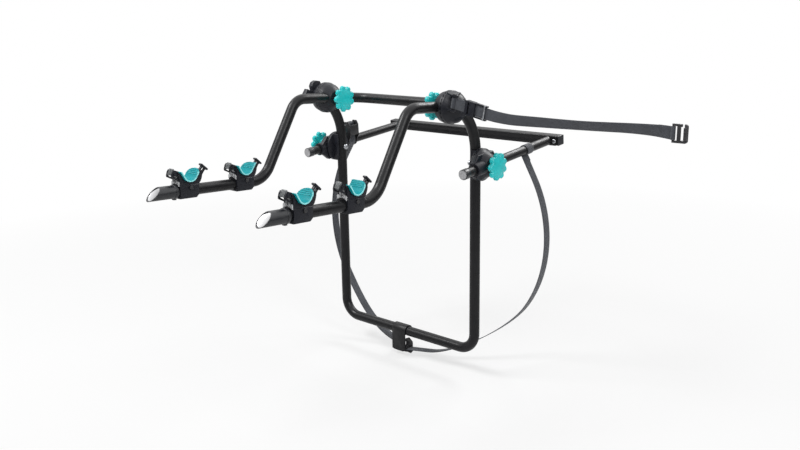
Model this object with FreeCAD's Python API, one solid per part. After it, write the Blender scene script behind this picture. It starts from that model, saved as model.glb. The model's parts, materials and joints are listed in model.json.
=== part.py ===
import FreeCAD, Part
import math
import os

V = FreeCAD.Vector

# Spare wheel bike rack, in millimetres. X points to the right, Y to the rear (towards the vehicle), Z up.
# The origin is the wheel seat: the point on the wheel's axis in the plane that the back of the hoop touches.

# Tubes
frame_tube_d = 25.0
frame_tube_wall = 1.5
bar_tube_d = 22.0
bar_tube_wall = 1.5
cross_tube_size = 25.0
cross_tube_wall = 1.5

# Clearances
fit = 0.05
pin_clearance = 0.08
face_gap = 0.4
seat_gap = 0.3

# Hoop that lies on the face of the wheel
hoop_width = 440.0
hoop_drop = 260.0
hoop_corner_radius = 45.0
hoop_neck_radius = 122.0
hoop_neck_angle = 60.0
hub_offset = 68.0
hub_height = 344.0
neck_overrun = 14.0

# Arms
arm_inset = 39.0
arm_tilt = 3.3
arm_top_front = 122.0
arm_drop = 188.0
arm_low_bend = 223.5
arm_tip = 540.0
crossbar_back = 77.0
arm_top_radius = 45.0
arm_low_radius = 60.0
crossbar_radius = 60.0
arm_tube_end = 500.0

# Arm end caps
arm_cap_wall = 2.2
arm_cap_start = 470.0
arm_cap_cut_angle = 45.0
arm_cap_rim = 1.5
arm_cap_recess = 1.6
arm_collar_d = 32.0
arm_collar_length = 7.0

# Toothed joints
disc_d = 76.0
disc_thickness = 5.0
tooth_count = 24
tooth_width = 3.2
tooth_depth = 1.4
tooth_length = 9.0
bolt_d = 8.0
cap_nut_d = 14.0
cap_nut_length = 7.0
dome_shoulder = 17.8
dome_shoulder_d = 68.0
dome_cheek = 25.8
dome_cheek_d = 56.0
dome_nose_d = 42.0
dome_depth = 35.5

# Hand knobs
knob_d = 65.0
knob_lobes = 9
knob_lobe_d = 15.5
knob_rim_thickness = 11.0
knob_dome = 4.0
knob_neck_d = 25.0
knob_neck_length = 8.5
knob_nut_size = 13.0
knob_nut_length = 6.5
upper_left_slack = 13.5
lower_left_slack = 20.0

# Side bars and the rear hook frame
bar_outset = 34.0
bar_tyre_gap = 11.3
bar_tilt = 5.4
bar_front = 82.0
bar_rear = 277.0
saddle_height = 68.0
saddle_depth = 36.0
saddle_inner_reach = 3.0
housing_nose_d = 46.0
housing_boss_d = 32.0
housing_boss_front = 52.0
housing_boss_rear = 40.0
bar_cap_d = 24.0
bar_cap_length = 12.0
bar_cap_plug = 14.0
cross_overhang = 25.0
cross_cap_thickness = 4.0
cross_cap_plug = 15.0
tab_thickness = 3.0
tab_width = 36.0
tab_height = 24.0
tab_bolt_offset = 17.5
tab_bolt_d = 6.0
tab_bolt_head_d = 11.0
tab_bolt_head = 4.0

# Cradles, by their distances in front of the hubs: front and rear of each arm
cradle_centres = {"right": (437.0, 293.0), "left": (441.0, 288.0)}
cradle_width = 28.0
sleeve_front = 26.5
sleeve_rear = 22.0
sleeve_half = 15.6
sleeve_chamfer = 7.0
trough_radius = 15.5
trough_forward = 2.0
trough_height = 39.5
trough_wall_angle = 57.0
trough_front_height = 43.0
trough_rear_height = 46.5
liner_thickness = 3.0
liner_width = 42.0
liner_rise = 1.0
tongue_rounding = 13.0
liner_rib_height = 1.0
liner_rib_width = 2.0
liner_rib_low = 35.7
liner_rib_pitch = 3.4
liner_rib_count = 4
cheek_inner = 7.5
cheek_thickness = 3.0
strap_pin_front = 36.0
strap_pin_height = 41.0
strap_pin_d = 5.0
strap_neck_width = 14.0
strap_width = 27.0
strap_thickness = 2.6
strap_eye_d = 10.0
strap_hang = 27.0
strap_wide_top = 23.0
strap_low_side = 12.8
strap_low_middle = 17.8
strap_slot_width = 3.4
strap_slot_length = 12.0
strap_tab_angle = 25.0
strap_tab_up = 8.6
strap_tab_down = 6.4
strap_tab_ribs = 5
hook_bar_angle = 39.0
hook_bar_length = 22.0
hook_bar_thickness = 4.2
hook_bar_width = 9.0
hook_strut_width = 6.0
hook_strut_thickness = 3.2
hook_web_width = 9.0
cradle_screw_d = 5.0
cradle_screw_head_d = 9.0
cradle_screw_head = 3.0
cradle_screw_height = 8.0

# Bottom hook of the tyre strap
hook_x = -16.0
hook_width = 44.0
hook_sheet = 3.0
hook_front_length = 55.0
hook_flange_depth = 33.0
hook_flange_drop = 66.0
hook_slot_width = 4.5
hook_slot_length = 10.0
hook_rivet_d = 6.0

# Tyre strap
wheel_radius = 317.0
webbing_width = 25.0
webbing_thickness = 1.8
strap_bar_right = 163.0
strap_bar_left = 62.0
strap_tread_front = 20.0
strap_hook_drop = 49.0

# Cam buckle of the tyre strap
buckle_cheek = 2.0
buckle_inner_width = 29.4
buckle_collar_d = 31.0
buckle_height = 54.0
buckle_drum_up = 45.0
buckle_drum_d = 8.0
buckle_pin_d = 5.0
lever_width = 24.0
lever_thickness = 3.0
lever_length = 30.0
lever_cheek = 1.4

# Security strap, held straight out from the right hub
anchor_out = 15.0
anchor_forward = 33.5
anchor_up = 14.8
anchor_slope = 11.5
anchor_pin_d = 6.0
anchor_ear = 4.0
strap_run_back = 14.0
security_double_run = 27.0
security_buckle_run = 33.0
security_buckle_length = 26.0
security_rail_run = 89.0
security_bar_run = 83.0
security_bar_d = 4.0
security_buckle_width = 32.0
security_buckle_depth = 12.0
security_end_run = 496.0
security_end_drop = 26.8
end_plate_reach = 28.0
end_plate_height = 35.0
end_plate_thickness = 5.0
end_bar_d = 4.4

# Worked out from the sizes above
frame_r = frame_tube_d / 2
bar_r = bar_tube_d / 2
hoop_x = hoop_width / 2
hoop_y = -frame_r
arm_x = hoop_x - arm_inset
bar_x = hoop_x + bar_outset
clamp_height = math.sqrt((wheel_radius + bar_tyre_gap) ** 2 - bar_x ** 2)
cross_length = 2 * (bar_x + cross_overhang)
hub_y = hoop_y - hub_offset
disc_r = disc_d / 2
bolt_r = bolt_d / 2
clamp_y = hoop_y
anchor_x = hoop_x + anchor_out
anchor_y = hub_y - anchor_forward
anchor_z = hub_height + anchor_up
strap_run_y = anchor_y + strap_run_back
security_double_end = anchor_x + security_double_run
security_buckle_start = anchor_x + security_buckle_run
security_rail_end = anchor_x + security_rail_run
security_bar_x = anchor_x + security_bar_run
security_end_x = anchor_x + security_end_run
security_end_z = anchor_z - security_end_drop
hub_face = (arm_x + frame_r + hoop_x - frame_r) / 2
clamp_face = (hoop_x + frame_r + bar_x - bar_r) / 2
sides = {"right": 1, "left": -1}


def save(shape, name):
    """Write one sub-part."""
    if not shape.isValid():
        print("not valid:", name)
    print(f"{name}: solids {len(shape.Solids)}, volume {shape.Volume:.0f}")
    shape.exportStep(f"parts/{name}.step")


def box(x0, x1, y0, y1, z0, z1):
    return Part.makeBox(x1 - x0, y1 - y0, z1 - z0, V(x0, y0, z0))


def rod_x(x0, x1, y, z, radius):
    return Part.makeCylinder(radius, x1 - x0, V(x0, y, z), V(1, 0, 0))


def turned_x(profile, y, z):
    """A closed (x, radius) profile turned about the X line through y, z."""
    points = [V(x, y, z + r) for x, r in profile]
    face = Part.Face(Part.makePolygon(points + points[:1]))
    return face.revolve(V(0, y, z), V(1, 0, 0), 360)


def prism_x(outline, x0, x1):
    """A closed outline of (y, z) points drawn out from x0 to x1."""
    points = [V(x0, y, z) for y, z in outline]
    face = Part.Face(Part.makePolygon(points + points[:1]))
    return face.extrude(V(x1 - x0, 0, 0))


def mirrored(shape):
    return shape.mirror(V(0, 0, 0), V(1, 0, 0))


def on_side(shape, sign):
    """The pieces are drawn on the right; the left ones are their mirror images."""
    return shape if sign > 0 else mirrored(shape)


def joined(shapes):
    result = shapes[0].multiFuse(shapes[1:]) if len(shapes) > 1 else shapes[0]
    return result.removeSplitter()


def path_wire(points, radii):
    """Straight runs joined by tangent arcs."""
    edges = []
    start = points[0]
    for before, corner, after, radius in zip(points, points[1:], points[2:], radii):
        back = (before - corner).normalize()
        ahead = (after - corner).normalize()
        half_angle = back.getAngle(ahead) / 2
        reach = radius / math.tan(half_angle)
        first = corner + back * reach
        last = corner + ahead * reach
        bisector = (back + ahead).normalize()
        middle = corner + bisector * (radius / math.sin(half_angle) - radius)
        edges.append(Part.LineSegment(start, first).toShape())
        edges.append(Part.Arc(first, middle, last).toShape())
        start = last
    edges.append(Part.LineSegment(start, points[-1]).toShape())
    return Part.Wire(edges)


def swept_rod(points, radii, diameter):
    wire = path_wire(points, radii)
    direction = points[1] - points[0]
    circle = Part.Wire([Part.makeCircle(diameter / 2, points[0], direction)])
    return wire.makePipeShell([circle], True, False)


def bent_tube(points, radii, diameter, wall):
    outer = swept_rod(points, radii, diameter)
    inner = swept_rod(points, radii, diameter - 2 * wall)
    return outer.cut(inner)


def band(stations, thickness):
    """Webbing through stations of (centre, width vector, outward vector)."""
    wires = []
    for centre, across, outward in stations:
        out = V(outward).normalize() * (thickness / 2)
        half = V(across) * 0.5
        corners = [centre - half - out, centre + half - out, centre + half + out, centre - half + out]
        wires.append(Part.makePolygon(corners + corners[:1]))
    return Part.makeLoft(wires, True, True)


def tooth_grooves(x, y, z, toward):
    """Radial grooves in a disc face at x; toward is the side of the face that has material."""
    grooves = []
    for i in range(tooth_count):
        x0 = x if toward > 0 else x - tooth_depth
        groove = box(x0, x0 + tooth_depth, y - tooth_width / 2, y + tooth_width / 2,
                     z + disc_r - tooth_length, z + disc_r + 1)
        groove.rotate(V(x, y, z), V(1, 0, 0), 360 * i / tooth_count)
        grooves.append(groove)
    return Part.makeCompound(grooves)


# Hoop: two uprights, a bottom bar and two necks that bend forward into the upper hubs
neck = math.radians(hoop_neck_angle)
neck_dir = V(0, -math.sin(neck), math.cos(neck))
hub_point = V(hoop_x, hub_y, hub_height)
neck_run = (hub_offset - hoop_neck_radius * (1 - math.cos(neck))) / math.sin(neck)
neck_corner = hub_point - neck_dir * (neck_run + hoop_neck_radius * math.tan(neck / 2))
neck_end = hub_point + neck_dir * neck_overrun
hoop_points = [
    neck_end,
    neck_corner,
    V(hoop_x, hoop_y, -hoop_drop),
    V(-hoop_x, hoop_y, -hoop_drop),
    V(-neck_corner.x, neck_corner.y, neck_corner.z),
    V(-neck_end.x, neck_end.y, neck_end.z),
]
hoop_radii = [hoop_neck_radius, hoop_corner_radius, hoop_corner_radius, hoop_neck_radius]


def hoop_holes():
    """Bolt holes through the necks and the uprights."""
    holes = []
    for y, z in ((hub_y, hub_height), (clamp_y, clamp_height)):
        holes.append(rod_x(-bar_x, bar_x, y, z, bolt_r + pin_clearance))
    return Part.makeCompound(holes)


def wheel_hoop():
    return bent_tube(hoop_points, hoop_radii, frame_tube_d, frame_tube_wall).cut(hoop_holes())


hoop_room = swept_rod(hoop_points, hoop_radii, frame_tube_d + 2 * fit)

# Arms: one tube bent into two arms and the bar that joins them, drawn level and then tilted about the hubs


def arm_point(x, forward, up):
    return V(x, hub_y - forward, hub_height + up)


def arm_path(tip_forward):
    half = [
        arm_point(arm_x, tip_forward, -arm_drop),
        arm_point(arm_x, arm_low_bend, -arm_drop),
        arm_point(arm_x, arm_top_front, 0),
        arm_point(arm_x, -crossbar_back, 0),
    ]
    return half + [V(-p.x, p.y, p.z) for p in reversed(half)]


arm_points = arm_path(arm_tube_end)
arm_radii = [arm_low_radius, arm_top_radius, crossbar_radius, crossbar_radius, arm_top_radius, arm_low_radius]
arm_room = swept_rod(arm_points, arm_radii, frame_tube_d + 2 * fit)


def tilted(shape):
    """Raise the front of a piece of the arms by their tilt."""
    turned = shape.copy()
    turned.rotate(V(0, hub_y, hub_height), V(1, 0, 0), -arm_tilt)
    return turned


def arm_frame():
    tube = bent_tube(arm_points, arm_radii, frame_tube_d, frame_tube_wall)
    hole = rod_x(-hoop_x, hoop_x, hub_y, hub_height, bolt_r + pin_clearance)
    return tilted(tube.cut(hole))


def arm_cap():
    """Sleeve over the arm's end, closed by a slanting face with a raised rim."""
    y_start = hub_y - arm_cap_start
    y_tip = hub_y - arm_tip
    z_axis = hub_height - arm_drop
    radius = frame_r + arm_cap_wall
    forward = V(0, -1, 0)
    base = V(arm_x, y_start, z_axis)
    sleeve = Part.makeCylinder(radius, y_start - y_tip, base, forward)
    collar = Part.makeCylinder(arm_collar_d / 2, arm_collar_length, base, forward)
    lug = box(arm_x - 4, arm_x + 4, y_start - arm_collar_length, y_start, z_axis - arm_collar_d / 2 - 2, z_axis - frame_r - 1)
    sleeve = joined([sleeve, collar, lug])
    slope = math.radians(arm_cap_cut_angle)
    depth = 2 * radius

    def beyond(shift):
        """All that lies beyond the slanting face, moved back along its normal by shift."""
        y0 = y_tip + shift / math.sin(slope)
        low = V(arm_x - depth, y0, z_axis - radius)
        high = low + V(0, depth / math.tan(slope) * 1.5, depth * 1.5)
        face = Part.Face(Part.makePolygon([low, high, V(high.x, y_tip - depth, high.z), V(low.x, y_tip - depth, low.z), low]))
        return face.extrude(V(2 * depth, 0, 0))

    sleeve = sleeve.cut(beyond(0))
    core = Part.makeCylinder(radius - arm_cap_rim, y_start - y_tip + 1, base + forward * (arm_tube_end - arm_cap_start + 2), forward)
    sleeve = sleeve.cut(core.common(beyond(arm_cap_recess)))
    socket = Part.makeCylinder(frame_r + fit, arm_tube_end - arm_cap_start + fit, base, forward)
    return tilted(sleeve.cut(socket))


def disc(x0, x1, y, z, tooth_side):
    """Round joint plate with radial grooves in the face that meets its partner."""
    plate = rod_x(x0, x1, y, z, disc_r)
    face_x = x0 if tooth_side < 0 else x1
    return plate.cut(tooth_grooves(face_x, y, z, -tooth_side))


def dome(face, away):
    """Domed joint half with radial grooves in its face; away is +1 or -1, the side the dome points to."""
    nose = dome_nose_d / 2
    profile = [
        (0, 0), (0, disc_r), (disc_thickness, disc_r), (disc_thickness + 1, disc_r - 0.8),
        (dome_shoulder, dome_shoulder_d / 2), (dome_cheek, dome_cheek_d / 2),
        (dome_depth - 2, nose), (dome_depth, nose - 3), (dome_depth, 0),
    ]
    body = turned_x([(face + away * d, r) for d, r in profile], hub_y, hub_height)
    return body.cut(tooth_grooves(face, hub_y, hub_height, away))


def hub_saddle():
    """Inner half of an upper hub: a dome that the arm's tube runs through."""
    body = dome(hub_face - face_gap / 2, -1).cut(arm_room)
    hole = rod_x(0, hoop_x, hub_y, hub_height, bolt_r + pin_clearance)
    return tilted(body.cut(hole))


def hub_socket(lugs):
    """Outer half of an upper hub: a domed housing round the end of the hoop's neck, with its lugs."""
    face = hub_face + face_gap / 2
    nose = face + dome_depth
    body = dome(face, 1)
    body = joined([body] + lugs)
    hole = rod_x(0, bar_x, hub_y, hub_height, bolt_r + pin_clearance)
    head_room = rod_x(nose - 1.2, nose + 5, hub_y, hub_height, cap_nut_d / 2 + 1)
    return body.cut(hoop_room).cut(hole).cut(head_room)


def catch_lugs():
    """Paddle and fin of the left hub, where the security strap's hook plate is clipped in use."""
    paddle = [(-30, 18), (-33, 30), (-28, 39), (-18, 43), (-6, 41), (0, 32), (0, 18)]
    fin = [(-24, 2), (-60, 8), (-48, 24), (-38, 19), (-24, 20)]
    lugs = []
    for outline in (paddle, fin):
        lugs.append(prism_x([(hub_y + a, hub_height + b) for a, b in outline], hoop_x - 3, hoop_x + 9))
    return lugs


def sloped(shape):
    """Turn a piece drawn upright at the strap's anchor so that it follows the slope of the strap."""
    turned = shape.copy()
    turned.rotate(V(anchor_x, anchor_y, anchor_z), V(0, 1, 0), anchor_slope)
    return turned


def anchor_ears():
    """Two ears of the right hub that hold the pin of the security strap."""
    outline = [(-4, -7), (4, -7), (7, -3), (7, 4), (-2, 14), (-8, 32), (-24, 32), (-24, 2), (-11, -5)]
    points = [V(anchor_x + a, anchor_y + b, anchor_z) for a, b in outline]
    face = Part.Face(Part.makePolygon(points + points[:1]))
    reach = webbing_width / 2 + 1.7
    upper = face.extrude(V(0, 0, anchor_ear))
    upper.translate(V(0, 0, reach))
    lower = face.extrude(V(0, 0, anchor_ear))
    lower.translate(V(0, 0, -reach - anchor_ear))
    room = Part.makeCylinder(anchor_pin_d / 2 + fit, 2 * (reach + anchor_ear) + 2,
                             V(anchor_x, anchor_y, anchor_z - reach - anchor_ear - 1))
    return [sloped(upper.cut(room)), sloped(lower.cut(room))]


def anchor_pin():
    reach = webbing_width / 2 + 1.7 + anchor_ear
    pin = Part.makeCylinder(anchor_pin_d / 2, 2 * reach + 1, V(anchor_x, anchor_y, anchor_z - reach - 0.5))
    head = Part.makeCylinder(anchor_pin_d / 2 + 2, 2, V(anchor_x, anchor_y, anchor_z + reach + 0.1))
    foot = Part.makeCylinder(anchor_pin_d / 2 + 2, 2, V(anchor_x, anchor_y, anchor_z - reach - 2.1))
    return sloped(joined([pin, head, foot]))


def through_bolt(head_x, tip_x, y, z):
    """Bolt along X with a domed head at head_x and its point at tip_x."""
    low, high = min(head_x, tip_x), max(head_x, tip_x)
    shank = rod_x(low, high, y, z, bolt_r)
    away = 1 if head_x > tip_x else -1
    r = cap_nut_d / 2
    profile = [(head_x, 0), (head_x, r), (head_x + away * cap_nut_length * 0.5, r),
               (head_x + away * cap_nut_length * 0.85, r * 0.75), (head_x + away * cap_nut_length, r * 0.3),
               (head_x + away * cap_nut_length, 0)]
    return joined([shank, turned_x(profile, y, z)])


upper_knob_seat = hub_face - face_gap / 2 - dome_depth
lower_knob_seat = bar_x + bar_r + 3.0
knob_grip = face_gap + knob_neck_length + knob_nut_length


def upper_bolt(slack):
    head = hub_face + face_gap / 2 + dome_depth - 1.2
    return through_bolt(head, upper_knob_seat - knob_grip - slack, hub_y, hub_height)


def lower_bolt(slack):
    head = hoop_x - frame_r - 0.2
    return through_bolt(head, lower_knob_seat + knob_grip + slack, clamp_y, clamp_height)


def knob(seat_x, away, slack, y, z):
    """Lobed hand knob on the X line through y, z; away is +1 or -1 along X, slack is how far it is screwed back."""
    start = seat_x + away * (face_gap + slack)
    neck_end_x = start + away * knob_neck_length
    rim_end = neck_end_x + away * knob_rim_thickness
    lobe_r = knob_lobe_d / 2
    ring_r = knob_d / 2 - lobe_r
    edge = 2.5

    def slug(radius, cy, cz):
        profile = [(neck_end_x, 0), (neck_end_x, radius - edge), (neck_end_x + away * edge, radius),
                   (rim_end - away * edge, radius), (rim_end, radius - edge), (rim_end, 0)]
        return turned_x(profile, cy, cz)

    core_r = ring_r + 1.5
    shapes = [slug(core_r, y, z)]
    for i in range(knob_lobes):
        angle = 2 * math.pi * (i + 0.5) / knob_lobes
        shapes.append(slug(lobe_r, y + ring_r * math.cos(angle), z + ring_r * math.sin(angle)))
    dome = [(rim_end - away, 0), (rim_end - away, core_r - 3), (rim_end, core_r - 3.4),
            (rim_end + away * knob_dome * 0.7, core_r - 10), (rim_end + away * knob_dome, core_r - 18),
            (rim_end + away * knob_dome, 0)]
    shapes.append(turned_x(dome, y, z))
    low, high = min(start, neck_end_x + away), max(start, neck_end_x + away)
    shapes.append(rod_x(low, high, y, z, knob_neck_d / 2))
    body = joined(shapes)
    bore_end = neck_end_x + away * (knob_nut_length + 1.0)
    bore = rod_x(min(start, bore_end), max(start, bore_end), y, z, bolt_r + pin_clearance)
    pocket = hex_x(neck_end_x, neck_end_x + away * knob_nut_length, y, z, knob_nut_size + 2 * fit)
    return body.cut(bore).cut(pocket)


def hex_x(xa, xb, y, z, across):
    """Hexagonal prism along X."""
    radius = across / math.sqrt(3)
    corners = [(y + radius * math.cos(math.radians(60 * i)), z + radius * math.sin(math.radians(60 * i))) for i in range(6)]
    return prism_x(corners, min(xa, xb), max(xa, xb))


def knob_nut(seat_x, away, slack, y, z):
    start = seat_x + away * (face_gap + slack + knob_neck_length)
    body = hex_x(start, start + away * knob_nut_length, y, z, knob_nut_size)
    low, high = min(start, start + away * knob_nut_length), max(start, start + away * knob_nut_length)
    return body.cut(rod_x(low, high, y, z, bolt_r + pin_clearance))


# Lower clamps and the rear hook frame, drawn level and then tilted about the clamp bolts


def lower_saddle():
    """Inner half of a lower clamp: cups the hoop's upright and carries a toothed plate."""
    face = clamp_face - face_gap / 2
    plate = disc(hoop_x + frame_r + 0.2, face, clamp_y, clamp_height, 1)
    block = box(hoop_x - saddle_inner_reach, face - 0.5, clamp_y - saddle_depth / 2, clamp_y + frame_r - 0.5,
                clamp_height - saddle_height / 2, clamp_height + saddle_height / 2)
    block = block.makeFillet(4, [e for e in block.Edges if abs(e.Length - saddle_height) < 0.1])
    block = block.common(rod_x(0, bar_x, clamp_y, clamp_height, disc_r))
    hole = rod_x(0, bar_x, clamp_y, clamp_height, bolt_r + pin_clearance)
    return joined([plate, block]).cut(hoop_room).cut(hole)


def bar_point(x, back, up=0.0):
    return V(x, clamp_y + back, clamp_height + up)


def bar_tilted(shape):
    """Raise the rear of a piece of the hook frame by its tilt."""
    turned = shape.copy()
    turned.rotate(V(0, clamp_y, clamp_height), V(1, 0, 0), bar_tilt)
    return turned


def side_bar():
    length = bar_front + bar_rear - cross_tube_size / 2 - tab_thickness
    outer = Part.makeCylinder(bar_r, length, bar_point(bar_x, -bar_front), V(0, 1, 0))
    inner = Part.makeCylinder(bar_r - bar_tube_wall, length, bar_point(bar_x, -bar_front), V(0, 1, 0))
    hole = rod_x(hoop_x, bar_x + 2 * bar_r, clamp_y, clamp_height, bolt_r + pin_clearance)
    return bar_tilted(outer.cut(inner).cut(hole))


def side_bar_cap():
    """Plug with a rounded head in the front end of a side bar."""
    base = bar_point(bar_x, -bar_front)
    head = Part.makeCylinder(bar_cap_d / 2, bar_cap_length, base, V(0, -1, 0))
    head = head.makeFillet(2.0, [e for e in head.Edges if abs(e.CenterOfMass.y - (base.y - bar_cap_length)) < 0.1])
    skirt = Part.makeCylinder(bar_cap_d / 2, 5, base, V(0, 1, 0)).cut(Part.makeCylinder(bar_r + fit, 5, base, V(0, 1, 0)))
    plug = Part.makeCylinder(bar_r - bar_tube_wall - fit, bar_cap_plug, base, V(0, 1, 0))
    return bar_tilted(joined([head, skirt, plug]))


def clamp_housing():
    """Outer half of a lower clamp: a tapered housing that the side bar runs through."""
    face = clamp_face + face_gap / 2
    nose = lower_knob_seat
    profile = [(face, 0), (face, disc_r), (face + disc_thickness, disc_r), (face + disc_thickness + 4, disc_r - 5),
               (nose - 5, housing_nose_d / 2 + 2), (nose, housing_nose_d / 2 - 2), (nose, 0)]
    body = turned_x(profile, clamp_y, clamp_height).cut(tooth_grooves(face, clamp_y, clamp_height, 1))
    boss = Part.makeCylinder(housing_boss_d / 2, housing_boss_front + housing_boss_rear, bar_point(bar_x, -housing_boss_front), V(0, 1, 0))
    web_outline = [(-housing_boss_front + 3, -13), (-disc_r + 8, -disc_r + 8), (disc_r - 10, -disc_r + 10), (housing_boss_rear - 3, -12),
                   (housing_boss_rear - 3, 12), (disc_r - 10, disc_r - 10), (-disc_r + 8, disc_r - 8), (-housing_boss_front + 3, 13)]
    web = prism_x([(clamp_y + a, clamp_height + b) for a, b in web_outline], face + 3, bar_x)
    web = web.makeFillet(3, [e for e in web.Edges if e.CenterOfMass.x > bar_x - 0.1])
    body = joined([body, boss, web])
    room = Part.makeCylinder(bar_r + fit, 2 * disc_d, bar_point(bar_x, -disc_d), V(0, 1, 0))
    hole = rod_x(0, 2 * bar_x, clamp_y, clamp_height, bolt_r + pin_clearance)
    knob_room = rod_x(lower_knob_seat, bar_x + bar_tube_d, clamp_y, clamp_height, knob_neck_d / 2 + 1)
    return bar_tilted(body.cut(room).cut(hole).cut(knob_room))


def rear_crossbar():
    half = cross_tube_size / 2
    outer = box(-cross_length / 2, cross_length / 2, clamp_y + bar_rear - half, clamp_y + bar_rear + half,
                clamp_height - half, clamp_height + half)
    outer = outer.makeFillet(3.0, [e for e in outer.Edges if e.Length > cross_length - 1])
    inner_half = half - cross_tube_wall
    inner = box(-cross_length / 2, cross_length / 2, clamp_y + bar_rear - inner_half, clamp_y + bar_rear + inner_half,
                clamp_height - inner_half, clamp_height + inner_half)
    tube = outer.cut(inner)
    for sign in sides.values():
        hole = Part.makeCylinder(tab_bolt_d / 2 + fit, cross_tube_size + 2,
                                 bar_point(sign * (bar_x + tab_bolt_offset), bar_rear - half - 1), V(0, 1, 0))
        tube = tube.cut(hole)
    return bar_tilted(tube)


def crossbar_cap():
    """Rounded plastic plug in the end of the rear crossbar."""
    half = cross_tube_size / 2
    x0 = cross_length / 2
    head = box(x0, x0 + cross_cap_thickness, clamp_y + bar_rear - half, clamp_y + bar_rear + half,
               clamp_height - half, clamp_height + half)
    head = head.makeFillet(2.2, [e for e in head.Edges if e.CenterOfMass.x > x0 + 0.1])
    inner_half = half - cross_tube_wall - fit
    plug = box(x0 - cross_cap_plug, x0, clamp_y + bar_rear - inner_half, clamp_y + bar_rear + inner_half,
               clamp_height - inner_half, clamp_height + inner_half)
    bolt_room = Part.makeCylinder(tab_bolt_d / 2 + 1, cross_tube_size + 2,
                                  bar_point(bar_x + tab_bolt_offset, bar_rear - half - 1), V(0, 1, 0))
    return bar_tilted(joined([head, plug.cut(bolt_room)]))


def bar_tab():
    """Plate welded on the rear end of a side bar and bolted to the crossbar."""
    y0 = clamp_y + bar_rear - cross_tube_size / 2 - tab_thickness
    x0 = bar_x - bar_r - 1
    plate = box(x0, x0 + tab_width, y0, y0 + tab_thickness, clamp_height - tab_height / 2, clamp_height + tab_height / 2)
    plate = plate.makeFillet(4, [e for e in plate.Edges if abs(e.Length - tab_thickness) < 0.01])
    hole = Part.makeCylinder(tab_bolt_d / 2 + fit, tab_thickness, V(bar_x + tab_bolt_offset, y0, clamp_height), V(0, 1, 0))
    return bar_tilted(plate.cut(hole))


def tab_bolt():
    """Bolt and nut that hold a tab to the crossbar."""
    y0 = bar_rear - cross_tube_size / 2 - tab_thickness
    shank = Part.makeCylinder(tab_bolt_d / 2, tab_thickness + cross_tube_size + 6, bar_point(bar_x + tab_bolt_offset, y0), V(0, 1, 0))
    head = Part.makeCylinder(tab_bolt_head_d / 2, tab_bolt_head, bar_point(bar_x + tab_bolt_offset, y0), V(0, -1, 0))
    head = head.makeFillet(1.8, [e for e in head.Edges if abs(e.CenterOfMass.y - (clamp_y + y0 - tab_bolt_head)) < 0.1])
    nut = Part.makeCylinder(tab_bolt_head_d / 2, 5, bar_point(bar_x + tab_bolt_offset, bar_rear + cross_tube_size / 2), V(0, 1, 0))
    return bar_tilted(joined([shank, head, nut]))


# Cradles, drawn about the arm's axis: forward is the distance in front of the cradle's middle, up is above the axis


def cradle_point(centre, forward, up, x=arm_x):
    return V(x, hub_y - centre - forward, hub_height - arm_drop + up)


def cradle_prism(centre, outline, x0, x1):
    return prism_x([(p.y, p.z) for p in (cradle_point(centre, f, u) for f, u in outline)], x0, x1)


def trough_wall(offset, up):
    """Distance of the trough's wall from its middle at a height."""
    radius = trough_radius + offset
    wall = math.radians(trough_wall_angle)
    return radius * math.sin(wall) + (up - trough_height + radius * math.cos(wall)) / math.tan(wall)


def trough_solid(centre, offset, front_up, rear_up, lift, half_width):
    """All that lies inside the trough's wall, up to lift above its rims."""
    radius = trough_radius + offset
    wall = math.radians(trough_wall_angle)
    x0 = arm_x - half_width

    def place(forward, up):
        return cradle_point(centre, trough_forward + forward, up, x0)

    foot = trough_height - radius * math.cos(wall)
    side = radius * math.sin(wall)
    front = trough_wall(offset, front_up)
    rear = trough_wall(offset, rear_up)
    corners = [place(-side, foot), place(-rear, rear_up), place(-rear, rear_up + lift), place(front, front_up + lift),
               place(front, front_up), place(side, foot)]
    edges = [Part.Arc(place(side, foot), place(0, trough_height - radius), place(-side, foot)).toShape()]
    for start, end in zip(corners, corners[1:]):
        if (end - start).Length > 0.01:
            edges.append(Part.LineSegment(start, end).toShape())
    return Part.Face(Part.Wire(edges)).extrude(V(2 * half_width, 0, 0))


def tongue_mask(centre, top, half_width):
    """Rounds the rear wall of the trough into a tongue, seen from the front."""
    y_rear = cradle_point(centre, -70, 0).y
    z0 = hub_height - arm_drop
    shoulder = z0 + top - tongue_rounding
    arc = []
    for i in range(13):
        angle = math.pi * i / 12
        arc.append(V(arm_x + half_width * math.cos(angle), y_rear, shoulder + tongue_rounding * math.sin(angle)))
    crown = Part.BSplineCurve()
    crown.interpolate(arc)
    right_foot = V(arm_x + half_width, y_rear, z0)
    left_foot = V(arm_x - half_width, y_rear, z0)
    wire = Part.Wire([
        Part.LineSegment(left_foot, right_foot).toShape(), Part.LineSegment(right_foot, arc[0]).toShape(),
        crown.toShape(), Part.LineSegment(arc[-1], left_foot).toShape(),
    ])
    split = cradle_point(centre, trough_forward, 0).y
    rear = Part.Face(wire).extrude(V(0, split - y_rear, 0))
    front = box(arm_x - half_width, arm_x + half_width, cradle_point(centre, 60, 0).y, split, z0, z0 + 80)
    return rear.fuse(front)


def hook_outlines():
    """Outlines of the strap hook's bar and its two struts."""
    angle = math.radians(hook_bar_angle)
    along = (-math.cos(angle), -math.sin(angle))
    normal = (-math.sin(angle), math.cos(angle))
    middle = (-45.3, 48.0)

    def at(distance, rise):
        return (middle[0] + along[0] * distance + normal[0] * rise, middle[1] + along[1] * distance + normal[1] * rise)

    half = hook_bar_length / 2
    t = hook_bar_thickness / 2
    bar = [at(-half + 1.2, t), at(-half, t - 1.2), at(-half, 1 - t), at(-half + 1, -t), at(half - 1, -t), at(half, 1 - t),
           at(half, t - 1.2), at(half - 1.2, t)]
    struts = []
    for distance, length in ((-4.6, 12.5), (4.2, 10.5)):
        low = distance - hook_strut_thickness / 2
        high = distance + hook_strut_thickness / 2
        struts.append([at(low, 0), at(high, 0), at(high, -length), at(low, -length)])
    return bar, struts


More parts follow.
